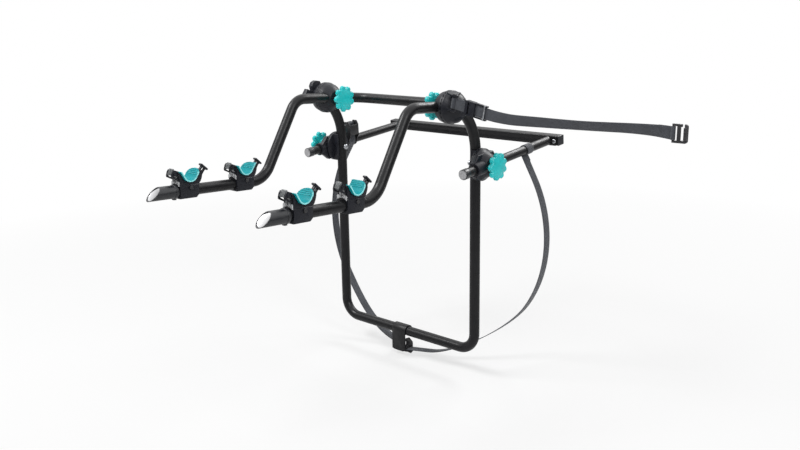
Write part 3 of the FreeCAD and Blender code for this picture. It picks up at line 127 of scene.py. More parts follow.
# Shape of the tyre strap: steps of its stretches, and how its path eases into the bottom hook
TREAD_BOTTOM = math.radians(-80)
TREAD_STEPS = 72
TREAD_SETTLE = 0.42
LEAD_STEPS = 8
BAR_TURN_STEPS = 12
DRUM_STEPS = 16
TAIL_STEPS = 5
TAIL_LENGTH = 0.022
HOOK_STEPS = 6
HOOK_ENTRY = (0.3, 0.6, 0.85)
HOOK_EXIT = (0.15, 0.4, 0.7)

# Sewing, in metres, with heights as shares of the webbing's thickness
BAR_LOOP_STEPS = 48
PIN_LOOP_STEPS = 28
HEM_STEPS = 8
HEM_OVERLAP = 0.006
HEM_NARROWER = 0.0006
HEM_HEIGHT = 1.02
HEM_DIP = 0.1
HEM_DIP_STEPS = 3
END_HEM_HEIGHT = 0.95
SEAM_MARGIN = 0.002
SIDE_SEAM_MARGIN = 0.0025
SEAM_BACKS = (0.006, 0.010, 0.024)
SIDE_SEAM_ENDS = (0.006, 0.024)
SEAM_ON_HEM = 1.55
SEAM_ON_STRAP = 0.55

# Section of the webbing, and the splines that carry the security strap's route and its lean
FLAT_STEPS = 6
CORNER_STEPS = 4
WEBBING_SHARP = math.radians(50)
ROUTE_RESOLUTION = 12
LEAN_SCALE = 100

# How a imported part's loose triangles become a clean mesh with rounded edges, in metres
MERGE_DISTANCE = 2e-6
CLOSE_DISTANCE = 1e-6
FLAT_ANGLE = math.radians(0.6)
BEVEL_ANGLE = math.radians(32)
SHARP_ANGLE = math.radians(36)
CROSSBAR_EDGE = 0.0012
FASTENER_EDGE = 0.0003
PIN_EDGE = 0.0004
CAP_EDGE = 0.0008
ARM_CAP_EDGE = 0.0005

# Edges of smaller mouldings, as shares of the moulded or the pressed edge
CRADLE_EDGE_SHARE = 0.7
RUBBER_EDGE_SHARE = 0.5
BUCKLE_EDGE_SHARE = 1.5

# Which faces of the caps take a second finish: limits on their normal, and area in square metres
SLANT_SHARE = 0.5
SLANT_SIDEWAYS = 0.2
SLANT_AREA = 1e-4
FRONT_SHARE = 0.98

# How every plain finish varies: in gloss, in the colour of its clouds and in its bumps
GLOSS_SWING = 0.06
LEAST_ROUGHNESS = 0.03
CLOUD_LIFT = 0.002
BUMP_STRENGTH = 0.6

# Colours and heights that no user would change, and sockets of the colour mix node
DUST = (0.30, 0.29, 0.27)
WORN_PAINT = (0.030, 0.030, 0.032)
WORN_PLASTIC = (0.022, 0.023, 0.028)
WORN_ZINC = (0.75, 0.75, 0.76)
WORN_STEEL = (0.35, 0.35, 0.36)
WORN_RUBBER = (0.66, 0.67, 0.68)
# Painted shade on the upper part of the milky retaining straps, for the dark parts seen through
# them, and the heights where it sets in
THROUGH_SHADE_TONE = (0.16, 0.17, 0.175)
THROUGH_SHADE_HEIGHTS = (0.2045, 0.2085)
WHITE = (1, 1, 1, 1)
MIX_SHARE, MIX_A, MIX_B, MIX_RESULT = 0, 6, 7, 2

# Stage: each light's name, place, size and power, in metres and watts
LIGHTS = (
    ("Key", (-1.2, -1.6, 2.4), (1.2, 0.8), 62),
    ("Fill", (2.4, -0.8, 1.4), (0.8, 1.4), 26),
    ("Rim", (0.2, 2.2, 2.0), (1.6, 0.6), 34),
)
LIT_PLACE = Vector((0.1, -0.1, 0.1))
ROOM_LIGHT = 0.34
FLOOR_BELOW = 0.001
FLOOR_REACH = 30.0

# Camera, solved on the object: place in metres, angles, and lens and sensor in millimetres
CAMERA_PLACE = (1.3771, -1.5819, 0.5606)
CAMERA_AZIMUTH = math.radians(41.63)
CAMERA_ELEVATION = math.radians(14.355)
CAMERA_ROLL = math.radians(-0.952)
CAMERA_LENS = 38.081
CAMERA_SENSOR = 36
CAMERA_SIGHT = 100


# Properties

def colour(name, description, value):
    return bpy.props.FloatVectorProperty(name=name, description=description, subtype="COLOR",
                                         size=3, min=0, max=1, default=value)


def length(name, description, value):
    return bpy.props.FloatProperty(name=name, description=description, subtype="DISTANCE",
                                   unit="LENGTH", min=0, default=value, precision=5)


class RackColours(bpy.types.PropertyGroup):
    """Colours of the rack's finishes."""
    coat: colour("Powder coat", "Satin powder coat on the tubes", (0.0055, 0.0055, 0.0065))
    moulding: colour("Mouldings", "Blue black moulded plastic", (0.0075, 0.0083, 0.0125))
    knob: colour("Knobs", "Turquoise hand knobs", (0.010, 0.52, 0.53))
    liner: colour("Cradle linings", "Turquoise soft lining", (0.001, 0.27, 0.30))
    # Lip colour of the lining, on its rubbed edges and faces that look sideways: partly its own
    # colour, partly painted highlight
    lip: colour("Lining lip", "Paler edge of the lining", (0.30, 0.80, 0.82))
    rubber: colour("Retaining straps", "Milky grey rubber", (0.48, 0.49, 0.50))
    webbing: colour("Webbing", "Dark grey polyester", (0.046, 0.050, 0.060))
    thread: colour("Sewing thread", "Thread of the seams", (0.055, 0.057, 0.062))
    zinc: colour("Zinc", "Plated bolts, nuts and pins", (0.36, 0.37, 0.39))
    floor: colour("Floor", "Studio floor", (0.80, 0.80, 0.80))


class RackSizes(bpy.types.PropertyGroup):
    """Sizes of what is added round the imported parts."""
    webbing_width: length("Webbing width", "Width of both straps", 0.025)
    webbing_thickness: length("Webbing thickness", "Thickness of both straps", 0.0018)
    moulded_edge: length("Moulded edge", "Radius on the edges of mouldings", 0.0009)
    pressed_edge: length("Pressed edge", "Radius on the edges of pressed steel", 0.0004)
    stitch_pitch: length("Stitch pitch", "Distance between stitches", 0.0032)
    stitch_length: length("Stitch length", "Length of a stitch that shows", 0.0024)
    stitch_radius: length("Stitch radius", "Half the thickness of the thread", 0.00035)
    hem: length("Hem", "Length of webbing sewn back on itself", 0.034)


def colours():
    return bpy.context.scene.rack_colours


def sizes():
    return bpy.context.scene.rack_sizes


# Shader node helpers

def add_node(tree, kind, values=None, **settings):
    """A node with its settings, and values or links for its inputs."""
    node = tree.nodes.new(kind)
    for key, value in settings.items():
        setattr(node, key, value)
    for key, value in (values or {}).items():
        if isinstance(value, bpy.types.NodeSocket):
            tree.links.new(value, node.inputs[key])
        else:
            node.inputs[key].default_value = value
    return node


def maths(tree, operation, a, b=None):
    values = {0: a} if b is None else {0: a, 1: b}
    return add_node(tree, "ShaderNodeMath", values, operation=operation).outputs[0]


def spread(tree, value, low, high, to_low=0.0, to_high=1.0):
    """Maps a value from one range to another and stops at its ends."""
    values = {"Value": value, "From Min": low, "From Max": high,
              "To Min": to_low, "To Max": to_high}
    return add_node(tree, "ShaderNodeMapRange", values).outputs["Result"]


def mixed(tree, share, a, b):
    """Colour a where the share is 0 and colour b where it is 1."""
    given = {MIX_SHARE: share}
    for socket, value in ((MIX_A, a), (MIX_B, b)):
        given[socket] = value if isinstance(value, bpy.types.NodeSocket) else (*value, 1)
    return add_node(tree, "ShaderNodeMix", given, data_type="RGBA").outputs[MIX_RESULT]


def coordinates(tree, kind="Object"):
    return add_node(tree, "ShaderNodeTexCoord").outputs[kind]


def along_axis(tree, vector, axis):
    return add_node(tree, "ShaderNodeSeparateXYZ", {0: vector}).outputs[axis]


def noise(tree, vector, scale, detail, roughness=0.5):
    values = {"Vector": vector, "Scale": scale, "Detail": detail, "Roughness": roughness}
    return add_node(tree, "ShaderNodeTexNoise", values).outputs["Fac"]


def wave(tree, count):
    """Rises and falls once for each whole step of the count."""
    return maths(tree, "ABSOLUTE", maths(tree, "SINE", maths(tree, "MULTIPLY", count, math.pi)))


def new_group(name, inputs, outputs):
    tree = bpy.data.node_groups.new(name, "ShaderNodeTree")
    face = tree.interface
    for label, value in inputs:
        socket = face.new_socket(label, in_out="INPUT", socket_type="NodeSocketFloat")
        socket.default_value = value
    for label in outputs:
        face.new_socket(label, in_out="OUTPUT", socket_type="NodeSocketFloat")
    given = tree.nodes.new("NodeGroupInput").outputs
    return tree, given, tree.nodes.new("NodeGroupOutput").inputs


def use_group(tree, name, values):
    node = add_node(tree, "ShaderNodeGroup", node_tree=bpy.data.node_groups[name])
    for key, value in values.items():
        node.inputs[key].default_value = value
    return node.outputs


def grain_group():
    """Fine grain, slow clouds and the spread of gloss, on the piece's own coordinates."""
    tree, given, result = new_group(
        "Surface grain", [("Grain scale", 1200), ("Cloud scale", 22)], ["Height", "Cloud", "Gloss"])
    place = coordinates(tree)
    fine = noise(tree, place, given["Grain scale"], detail=3, roughness=0.6)
    cloud = noise(tree, place, given["Cloud scale"], detail=4, roughness=0.55)
    patches = noise(tree, place, scale=90, detail=2)
    tree.links.new(fine, result["Height"])
    tree.links.new(spread(tree, cloud, low=0.3, high=0.7), result["Cloud"])
    tree.links.new(spread(tree, patches, low=0.3, high=0.7), result["Gloss"])


def wear_group():
    """Rubbed edges: where a rounded normal leaves the flat one, broken up by noise."""
    tree, given, result = new_group("Edge wear", [("Radius", 0.0008), ("Breaks", 140)], ["Mask"])
    rounded = add_node(tree, "ShaderNodeBevel", {"Radius": given["Radius"]}, samples=4)
    flat = add_node(tree, "ShaderNodeNewGeometry")
    normals = {0: rounded.outputs["Normal"], 1: flat.outputs["Normal"]}
    dot = add_node(tree, "ShaderNodeVectorMath", normals, operation="DOT_PRODUCT")
    edge = spread(tree, dot.outputs["Value"], low=0.985, high=0.86)
    breaks = noise(tree, coordinates(tree), given["Breaks"], detail=3)
    mask = maths(tree, "MULTIPLY", edge, spread(tree, breaks, low=0.42, high=0.62))
    tree.links.new(mask, result["Mask"])


def dust_group():
    """Thin dust on faces that look up."""
    tree, given, result = new_group("Dust", [("Amount", 0.1)], ["Mask"])
    normal = add_node(tree, "ShaderNodeNewGeometry").outputs["Normal"]
    up = spread(tree, along_axis(tree, normal, "Z"), low=0.3, high=1.0)
    specks = noise(tree, coordinates(tree), scale=60, detail=5, roughness=0.7)
    lying = maths(tree, "MULTIPLY", up, spread(tree, specks, low=0.45, high=0.7))
    tree.links.new(maths(tree, "MULTIPLY", lying, given["Amount"]), result["Mask"])


def weave_group():
    """Ribbed plain weave in the strap's own length and width, in metres on its UV map."""
    tree, given, result = new_group(
        "Webbing weave", [("Rib pitch", 0.00125), ("Pick pitch", 0.0009)], ["Height", "Thread"])
    place = add_node(tree, "ShaderNodeSeparateXYZ", {0: coordinates(tree, "UV")}).outputs
    rib = maths(tree, "DIVIDE", place["Y"], given["Rib pitch"])
    pick = maths(tree, "DIVIDE", place["X"], given["Pick pitch"])
    half_steps = maths(tree, "MULTIPLY", maths(tree, "FLOOR", rib), 0.5)
    pick_wave = wave(tree, maths(tree, "ADD", pick, half_steps))
    swell = maths(tree, "ADD", maths(tree, "MULTIPLY", pick_wave, 0.6), 0.4)
    tree.links.new(maths(tree, "MULTIPLY", wave(tree, rib), swell), result["Height"])
    tree.links.new(pick_wave, result["Thread"])


def build_groups():
    grain_group()
    wear_group()
    dust_group()
    weave_group()


def new_material(name):
    material = bpy.data.materials.new(name)
    material.use_nodes = True
    return material, material.node_tree


def finish(name, base, roughness, grain_scale, grain_depth, worn=None, wear=0.6, cloudy=0.25,
           dusty=0.015, sockets=None):
    """A material with grain, slow colour change, rubbed edges and dust on a plain base colour."""
    material, tree = new_material(name)
    shader = tree.nodes["Principled BSDF"]
    base = tuple(base)
    grain = use_group(tree, "Surface grain", {"Grain scale": grain_scale})
    paler = tuple(min(1.0, c * (1 + cloudy) + CLOUD_LIFT) for c in base)
    body = mixed(tree, grain["Cloud"], base, paler)
    if worn is not None:
        rubbed = use_group(tree, "Edge wear", {})
        body = mixed(tree, maths(tree, "MULTIPLY", rubbed["Mask"], wear), body, tuple(worn))
    dust = use_group(tree, "Dust", {"Amount": dusty})
    tree.links.new(mixed(tree, dust["Mask"], body, DUST), shader.inputs["Base Color"])
    gloss = spread(tree, grain["Gloss"], low=0, high=1,
                   to_low=max(LEAST_ROUGHNESS, roughness - GLOSS_SWING),
                   to_high=roughness + GLOSS_SWING)
    tree.links.new(gloss, shader.inputs["Roughness"])
    bump = add_node(tree, "ShaderNodeBump", {
        "Height": grain["Height"], "Distance": grain_depth, "Strength": BUMP_STRENGTH})
    tree.links.new(bump.outputs["Normal"], shader.inputs["Normal"])
    for label, value in (sockets or {}).items():
        shader.inputs[label].default_value = value
    return material


def overlaid(material, colour_on_top, share_of):
    """Lays a second colour over a finish, by a share that is worked out in its node tree."""
    tree = material.node_tree
    base = tree.nodes["Principled BSDF"].inputs["Base Color"]
    body = base.links[0].from_socket
    tree.links.new(mixed(tree, share_of(tree), body, colour_on_top), base)


def lining_finish(inner, lip):
    """Soft lining whose faces that look sideways have a paler colour, partly its own and partly
    painted highlight.
    """
    def sideways(tree):
        turned = maths(tree, "ABSOLUTE", along_axis(tree, coordinates(tree, "Normal"), "X"))
        return spread(tree, turned, low=0.6, high=0.8)

    # Rubbed edges take the pale lip colour: partly wear, partly painted highlight
    material = finish("Lining", inner, roughness=0.5, grain_scale=700, grain_depth=0.00006,
                      worn=lip, wear=0.55, dusty=0.0, sockets={"Specular IOR Level": 0.15})
    # Paler colour on faces that look sideways: partly the lip's own colour, partly painted
    # highlight
    overlaid(material, tuple(lip), sideways)


def rubber_finish(base):
    """Milky rubber with painted shade above a height of the part, for the dark parts seen through
    it.
    """
    def upper(tree):
        return spread(tree, along_axis(tree, coordinates(tree), "Z"), *THROUGH_SHADE_HEIGHTS)

    material = finish("Milky rubber", base, roughness=0.42, grain_scale=800, grain_depth=0.00004,
                      worn=WORN_RUBBER, wear=0.5, cloudy=0.12, dusty=0.0,
                      sockets={"Subsurface Weight": 0.25, "Subsurface Radius": (0.004,) * 3})
    # Painted shade over the upper part of the rubber
    overlaid(material, THROUGH_SHADE_TONE, upper)


def webbing_finish(base):
    """Polyester webbing: ribs and picks on the UV map, painted shade in the weave's valleys,
    painted highlight on the thread tops and a soft sheen.
    """
    _, tree = new_material("Webbing")
    shader = tree.nodes["Principled BSDF"]
    weave = use_group(tree, "Webbing weave", {})
    grain = use_group(tree, "Surface grain", {"Grain scale": 2500, "Cloud scale": 35})
    # Painted shade where the weave is low and painted highlight where it is high
    weave_valley_shade, weave_top_highlight, faded = (tuple(c * share for c in base) for share in (0.55, 1.35, 1.6))
    shaded_weave = mixed(tree, weave["Height"], weave_valley_shade, weave_top_highlight)
    body = mixed(tree, maths(tree, "MULTIPLY", grain["Cloud"], 0.35), shaded_weave, faded)
    dust = use_group(tree, "Dust", {"Amount": 0.06})
    tree.links.new(mixed(tree, dust["Mask"], body, DUST), shader.inputs["Base Color"])
    gloss = spread(tree, weave["Thread"], low=0, high=1, to_low=0.85, to_high=0.62)
    tree.links.new(gloss, shader.inputs["Roughness"])
    fuzz = maths(tree, "ADD", weave["Height"], maths(tree, "MULTIPLY", grain["Height"], 0.25))
    bump = add_node(tree, "ShaderNodeBump", {"Height": fuzz, "Distance": 0.0003, "Strength": 0.8})
    tree.links.new(bump.outputs["Normal"], shader.inputs["Normal"])
    shader.inputs["Specular IOR Level"].default_value = 0.3
    shader.inputs["Sheen Weight"].default_value = 0.25
    shader.inputs["Sheen Roughness"].default_value = 0.5


def build_materials():
    tint = colours()
    rubbed_knob = tuple(min(1, c * 1.5 + 0.03) for c in tint.knob)
    finish("Powder coat", tint.coat, roughness=0.33, grain_scale=1500, grain_depth=0.00003,
           worn=WORN_PAINT, wear=0.5, sockets={"Specular IOR Level": 0.24})
    finish("Black paint", tint.coat, roughness=0.38, grain_scale=1100, grain_depth=0.00003,
           worn=WORN_PAINT, wear=0.7, sockets={"Specular IOR Level": 0.28})
    finish("Moulded plastic", tint.moulding, roughness=0.42, grain_scale=900, grain_depth=0.00006,
           worn=WORN_PLASTIC, wear=0.5, sockets={"Specular IOR Level": 0.28})
    finish("Cap plastic", (0.008, 0.009, 0.012), roughness=0.34, grain_scale=1300,
           grain_depth=0.00003, worn=WORN_PLASTIC, wear=0.5)
    finish("Cap insert", (0.50, 0.50, 0.51), roughness=0.16, grain_scale=600, grain_depth=0.00001,
           cloudy=0.05, dusty=0.0, sockets={"Metallic": 1.0})
    finish("Pale end face", (0.34, 0.34, 0.35), roughness=0.40, grain_scale=600,
           grain_depth=0.00003, cloudy=0.2, dusty=0.0)
    finish("Knob plastic", tint.knob, roughness=0.33, grain_scale=1000, grain_depth=0.00003,
           worn=rubbed_knob, wear=0.35, cloudy=0.10, dusty=0.0)
    lining_finish(tint.liner, tint.lip)
    rubber_finish(tint.rubber)
    finish("Zinc plate", tint.zinc, roughness=0.30, grain_scale=1800, grain_depth=0.00002,
           worn=WORN_ZINC, wear=0.6, cloudy=0.15, dusty=0.02, sockets={"Metallic": 1.0})
    finish("Black steel", (0.016, 0.016, 0.018), roughness=0.38, grain_scale=1200,
           grain_depth=0.00003, worn=WORN_STEEL, wear=0.5)
    webbing_finish(tint.webbing)
    finish("Thread", tint.thread, roughness=0.7, grain_scale=3000, grain_depth=0.00002,
           dusty=0.0, sockets={"Sheen Weight": 0.3})


# Mesh helpers

def add_object(name, data):
    made = bpy.data.objects.new(name, data)
    bpy.context.scene.collection.objects.link(made)
    return made


def new_piece(name, mesh, material, body):
    piece = add_object(name, mesh)
    if not mesh.materials:
        mesh.materials.append(bpy.data.materials[material])
    if body is not None:
        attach(piece, body)
    return piece


def made_plain(carrier, name):
    """Plain mesh of an object and its modifiers; the object and its draft mesh go."""
    draft = carrier.data
    bpy.context.view_layer.update()
    shape = carrier.evaluated_get(bpy.context.evaluated_depsgraph_get())
    made = bpy.data.meshes.new_from_object(shape)
    made.name = name
    bpy.data.objects.remove(carrier)
    bpy.data.meshes.remove(draft)
    return made


def merged_copy(node, name):
    """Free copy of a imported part's mesh, its loose triangles merged and its flat faces whole."""
    mesh = bpy.data.meshes.new(name)
    solid = bmesh.new()
    solid.from_mesh(frame["nodes"][node].data)
    bmesh.ops.remove_doubles(solid, verts=solid.verts, dist=MERGE_DISTANCE)
    bmesh.ops.dissolve_degenerate(solid, dist=MERGE_DISTANCE, edges=solid.edges)
    bmesh.ops.dissolve_limit(solid, angle_limit=FLAT_ANGLE, verts=solid.verts, edges=solid.edges)
    for face in solid.faces:
        face.smooth = True
    solid.to_mesh(mesh)
    solid.free()
    return mesh


def softened(node, name, material, radius, segments=2, paint=None):
    """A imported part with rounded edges, which stands for the part on the same body."""
    carrier = add_object(name + "_draft", merged_copy(node, name))
    bevel = carrier.modifiers.new("Edges", "BEVEL")
    bevel.width = radius
    bevel.segments = segments
    bevel.limit_method = "ANGLE"
    bevel.angle_limit = BEVEL_ANGLE
    bevel.miter_outer = "MITER_ARC"
    made = made_plain(carrier, name)
    made.materials.clear()
    made.materials.append(bpy.data.materials[material])
    made.polygons.foreach_set("use_smooth", [True] * len(made.polygons))
    made.set_sharp_from_angle(angle=SHARP_ANGLE)
    if paint is not None:
        paint(made)
    body = frame["nodes"][node]["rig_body"]
    piece = new_piece(name, made, material, body)
    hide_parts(node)


def coat(node, material, slot):
    """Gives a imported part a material; its shape stays."""
    piece = frame["nodes"][node]
    piece.data.materials.clear()
    piece.data.materials.append(bpy.data.materials[material])


def smooth_line(points):
    """Points read from one smooth spline with these control points."""
    data = bpy.data.curves.new("route", "CURVE")
    data.dimensions = "3D"
    data.resolution_u = ROUTE_RESOLUTION
    spline = data.splines.new("NURBS")
    spline.points.add(len(points) - 1)
    for target, point in zip(spline.points, points):
        target.co = (*point, 1)
    spline.order_u = 3
    spline.use_endpoint_u = True
    carrier = bpy.data.objects.new("route", data)
    mesh = bpy.data.meshes.new_from_object(carrier)
    line = [v.co.copy() for v in mesh.vertices]
    bpy.data.meshes.remove(mesh)
    bpy.data.objects.remove(carrier)
    bpy.data.curves.remove(data)
    return line


def ribbon_section(width, thickness):
    """Points across and out of flat webbing with rounded selvedges."""
    half = thickness / 2
    edge = width / 2 - half
    section = []
    for side in (1, -1):
        for i in range(FLAT_STEPS + 1):
            section.append((side * ((width - 2 * half) * i / FLAT_STEPS - edge), side * half))
        for i in range(1, CORNER_STEPS):
            angle = math.pi / 2 - math.pi * i / CORNER_STEPS
            section.append((side * (edge + half * math.cos(angle)), side * half * math.sin(angle)))
    return section


def ribbon_mesh(name, stations, width, thickness, closed=False):
    """Webbing along stations of (centre, across, outward), with a UV map in metres."""
    section = ribbon_section(width, thickness)
    count = len(section)
    girth = [0.0]
    for a, b in zip(section, section[1:] + section[:1]):
        girth.append(girth[-1] + math.dist(a, b))
    shape = bmesh.new()
    uv = shape.loops.layers.uv.new("Webbing")
    rings = []
    along = []
    run = 0.0
    previous = stations[0][0]
    for centre, across, outward in stations:
        run += (centre - previous).length
        previous = centre
        along.append(run)
        rings.append([shape.verts.new(centre + across.normalized() * a + outward.normalized() * o)
                      for a, o in section])
    for i in range(len(rings) - 1):
        for j in range(count):
            k = (j + 1) % count
            face = shape.faces.new((rings[i][j], rings[i][k], rings[i + 1][k], rings[i + 1][j]))
            face.smooth = True
            corners = ((i, j), (i, j + 1), (i + 1, j + 1), (i + 1, j))
            for loop, (u, v) in zip(face.loops, corners):
                loop[uv].uv = (along[u], girth[v])
    if closed:
        bmesh.ops.remove_doubles(shape, verts=shape.verts, dist=CLOSE_DISTANCE)
    else:
        for ring in (rings[0], rings[-1]):
            face = shape.faces.new(ring)
            for loop, (a, o) in zip(face.loops, section):
                loop[uv].uv = (o, a)
    bmesh.ops.recalc_face_normals(shape, faces=shape.faces)
    mesh = bpy.data.meshes.new(name)
    shape.to_mesh(mesh)
    shape.free()
    mesh.set_sharp_from_angle(angle=WEBBING_SHARP)
    return mesh


def ribbon_piece(name, stations, body, closed=False, narrower=0.0):
    """A piece of webbing in its full width, or narrower by a given amount."""
    width = sizes().webbing_width - narrower
    mesh = ribbon_mesh(name, stations, width, sizes().webbing_thickness, closed)
    return new_piece(name, mesh, "Webbing", body)


def stitch_tree():
    """Rounded stitches set along the edges of a mesh."""
    tree = bpy.data.node_groups.new("Stitches", "GeometryNodeTree")
    face = tree.interface
    face.new_socket("Geometry", in_out="INPUT", socket_type="NodeSocketGeometry")
    for label, value in (("Pitch", 0.003), ("Length", 0.002), ("Radius", 0.0003)):
        socket = face.new_socket(label, in_out="INPUT", socket_type="NodeSocketFloat")
        socket.default_value = value
    face.new_socket("Thread", in_out="INPUT", socket_type="NodeSocketMaterial")
    face.new_socket("Geometry", in_out="OUTPUT", socket_type="NodeSocketGeometry")
    given = tree.nodes.new("NodeGroupInput").outputs
    curve = add_node(tree, "GeometryNodeMeshToCurve", {"Mesh": given["Geometry"]})
    spaced = add_node(tree, "GeometryNodeResampleCurve",
                      {"Curve": curve.outputs["Curve"], "Length": given["Pitch"]}, mode="LENGTH")
    ball = add_node(tree, "GeometryNodeMeshUVSphere", {"Segments": 8, "Rings": 5, "Radius": 1.0})
    tangent = tree.nodes.new("GeometryNodeInputTangent").outputs["Tangent"]
    turn = add_node(tree, "FunctionNodeAlignRotationToVector", {"Vector": tangent}, axis="X")
    half = maths(tree, "MULTIPLY", given["Length"], 0.5)
    size = add_node(tree, "ShaderNodeCombineXYZ",
                    {"X": half, "Y": given["Radius"], "Z": given["Radius"]})
    set_out = add_node(tree, "GeometryNodeInstanceOnPoints", {
        "Points": spaced.outputs["Curve"], "Instance": ball.outputs["Mesh"],
        "Rotation": turn.outputs["Rotation"], "Scale": size.outputs[0]})
    real = add_node(tree, "GeometryNodeRealizeInstances",
                    {"Geometry": set_out.outputs["Instances"]})
    smooth = add_node(tree, "GeometryNodeSetShadeSmooth", {"Geometry": real.outputs["Geometry"]})
    done = add_node(tree, "GeometryNodeSetMaterial",
                    {"Geometry": smooth.outputs["Geometry"], "Material": given["Thread"]})
    end = tree.nodes.new("NodeGroupOutput")
    tree.links.new(done.outputs["Geometry"], end.inputs["Geometry"])
    return tree


def sewn(name, lines, body):
    """Stitches along each line of points, as one plain mesh."""
    mesh = bpy.data.meshes.new(name + "_lines")
    points = []
    edges = []
    for line in lines:
        edges += [(len(points) + i, len(points) + i + 1) for i in range(len(line) - 1)]
        points += [tuple(p) for p in line]
    mesh.from_pydata(points, edges, [])
    carrier = add_object(name + "_lines", mesh)
    tree = bpy.data.node_groups.get("Stitches") or stitch_tree()
    modifier = carrier.modifiers.new("Stitches", "NODES")
    modifier.node_group = tree
    wanted = {"Pitch": sizes().stitch_pitch, "Length": sizes().stitch_length,
              "Radius": sizes().stitch_radius, "Thread": bpy.data.materials["Thread"]}
    for item in tree.interface.items_tree:
        if item.in_out == "INPUT" and item.name in wanted:
            modifier[item.identifier] = wanted[item.name]
    return new_piece(name, made_plain(carrier, name), "Thread", body)


def seam_across(spot, across):
    reach = across * (sizes().webbing_width / 2 - SEAM_MARGIN)
    return [spot - reach, spot + reach]


# Frames of reference

def bar_axes():
    """Directions along and above the tilted side bars."""
    lean, rise = math.cos(BAR_TILT), math.sin(BAR_TILT)
    return Vector((0, lean, rise)), Vector((0, -rise, lean))


def bar_centre(back):
    along, _ = bar_axes()
    return Vector((BAR_X, CLAMP.y, CLAMP.z)) + along * back


def bar_normal(angle):
    """Direction at an angle in the plane square to the side bars."""
    _, up = bar_axes()
    return Vector((math.cos(angle), 0, 0)) + up * math.sin(angle)


def eased(t):
    t = min(1.0, max(0.0, t))
    return t * t * (3 - 2 * t)


def middle_radius(core):
    """Radius of the middle of webbing that lies on a round core."""
    return core + SEAT_GAP + sizes().webbing_thickness / 2


def lifted(stations, height):
    return [(c + o.normalized() * height, a, o) for c, a, o in stations]


def mirrored(stations):
    return [tuple(Vector((-v.x, v.y, v.z)) for v in station) for station in stations]


def ring_round(centre, axis, start, radius, count):
    """Stations round a bar, from the direction start."""
    start = start.normalized()
    side = axis.cross(start)
    found = []
    for i in range(count + 1):
        angle = 2 * math.pi * i / count
        normal = start * math.cos(angle) + side * math.sin(angle)
        found.append((centre + normal * radius, axis, normal))
    return found


# Tyre strap

def strap_half(back):
    """Stations of one half, drawn on the right, from the bottom up to the side bar."""
    radius = middle_radius(TREAD_RADIUS)
    centre = bar_centre(back)
    distance = math.hypot(centre.x, centre.z)
    lift = math.acos((radius + middle_radius(BAR_RADIUS)) / distance)
    top = math.atan2(centre.z, centre.x) - lift
    flat = Vector((0, 1, 0))
    stations = []
    for i in range(TREAD_STEPS + 1):
        angle = TREAD_BOTTOM + (top - TREAD_BOTTOM) * i / TREAD_STEPS
        settled = eased(i / (TREAD_STEPS * TREAD_SETTLE))
        y = TREAD_FRONT + (centre.y - TREAD_FRONT) * settled
        outward = Vector((math.cos(angle), 0, math.sin(angle)))
        stations.append((Vector((radius * outward.x, y, radius * outward.z)), flat, outward))
    tangent = Vector((-outward.z, 0, outward.x))
    foot = stations[-1][0]
    run = distance * math.sin(lift)
    along, _ = bar_axes()
    for i in range(1, LEAD_STEPS + 1):
        share = i / LEAD_STEPS
        across = flat.lerp(along, eased(share))
        stations.append((foot + tangent * (run * share), across, outward))
    return stations, centre


def buckle_turns(outward, centre):
    """Stations over the left bar, up and over the buckle's drum and down its hanging end."""
    along, up = bar_axes()
    gap = middle_radius(BAR_RADIUS)
    found = []
    start = math.atan2(-outward.z, -outward.x) % (2 * math.pi)
    for i in range(1, BAR_TURN_STEPS + 1):
        normal = bar_normal(start + (math.pi - start) * i / BAR_TURN_STEPS)
        found.append((centre + normal * gap, along, -normal))
    wrap = middle_radius(DRUM_RADIUS)
    drum = centre + Vector((wrap - gap, 0, 0)) + up * DRUM_UP
    for i in range(DRUM_STEPS + 1):
        normal = bar_normal(math.pi * (1 - i / DRUM_STEPS))
        found.append((drum + normal * wrap, along, normal))
    for i in range(1, TAIL_STEPS + 1):
        hanging = drum + Vector((wrap, 0, 0)) - up * (TAIL_LENGTH * i / TAIL_STEPS)
        found.append((hanging, along, Vector((1, 0, 0))))
    return found


def hook_run(left_foot, right_foot):
    """Stations through the bottom hook, from the left half's foot to the right half's."""
    y, z = HOOK_STRAP
    entry = Vector((HOOK_X - HOOK_HALF, y, z))
    leaving = Vector((HOOK_X + HOOK_HALF, y, z))
    places = [left_foot.lerp(entry, eased(share)) for share in HOOK_ENTRY]
    for i in range(HOOK_STEPS + 1):
        places.append(Vector((HOOK_X - HOOK_HALF + 2 * HOOK_HALF * i / HOOK_STEPS, y, z)))
    places += [leaving.lerp(right_foot, eased(share)) for share in HOOK_EXIT]
    return [(place, Vector((0, 1, 0)), Vector((0, 0, -1))) for place in places]


def tyre_strap_stations():
    right, _ = strap_half(BAR_RIGHT_BACK)
    left, centre = strap_half(BAR_LEFT_BACK)
    left += buckle_turns(left[-1][2], centre)
    left = mirrored(left)
    return left[::-1] + hook_run(left[0][0], right[0][0]) + right


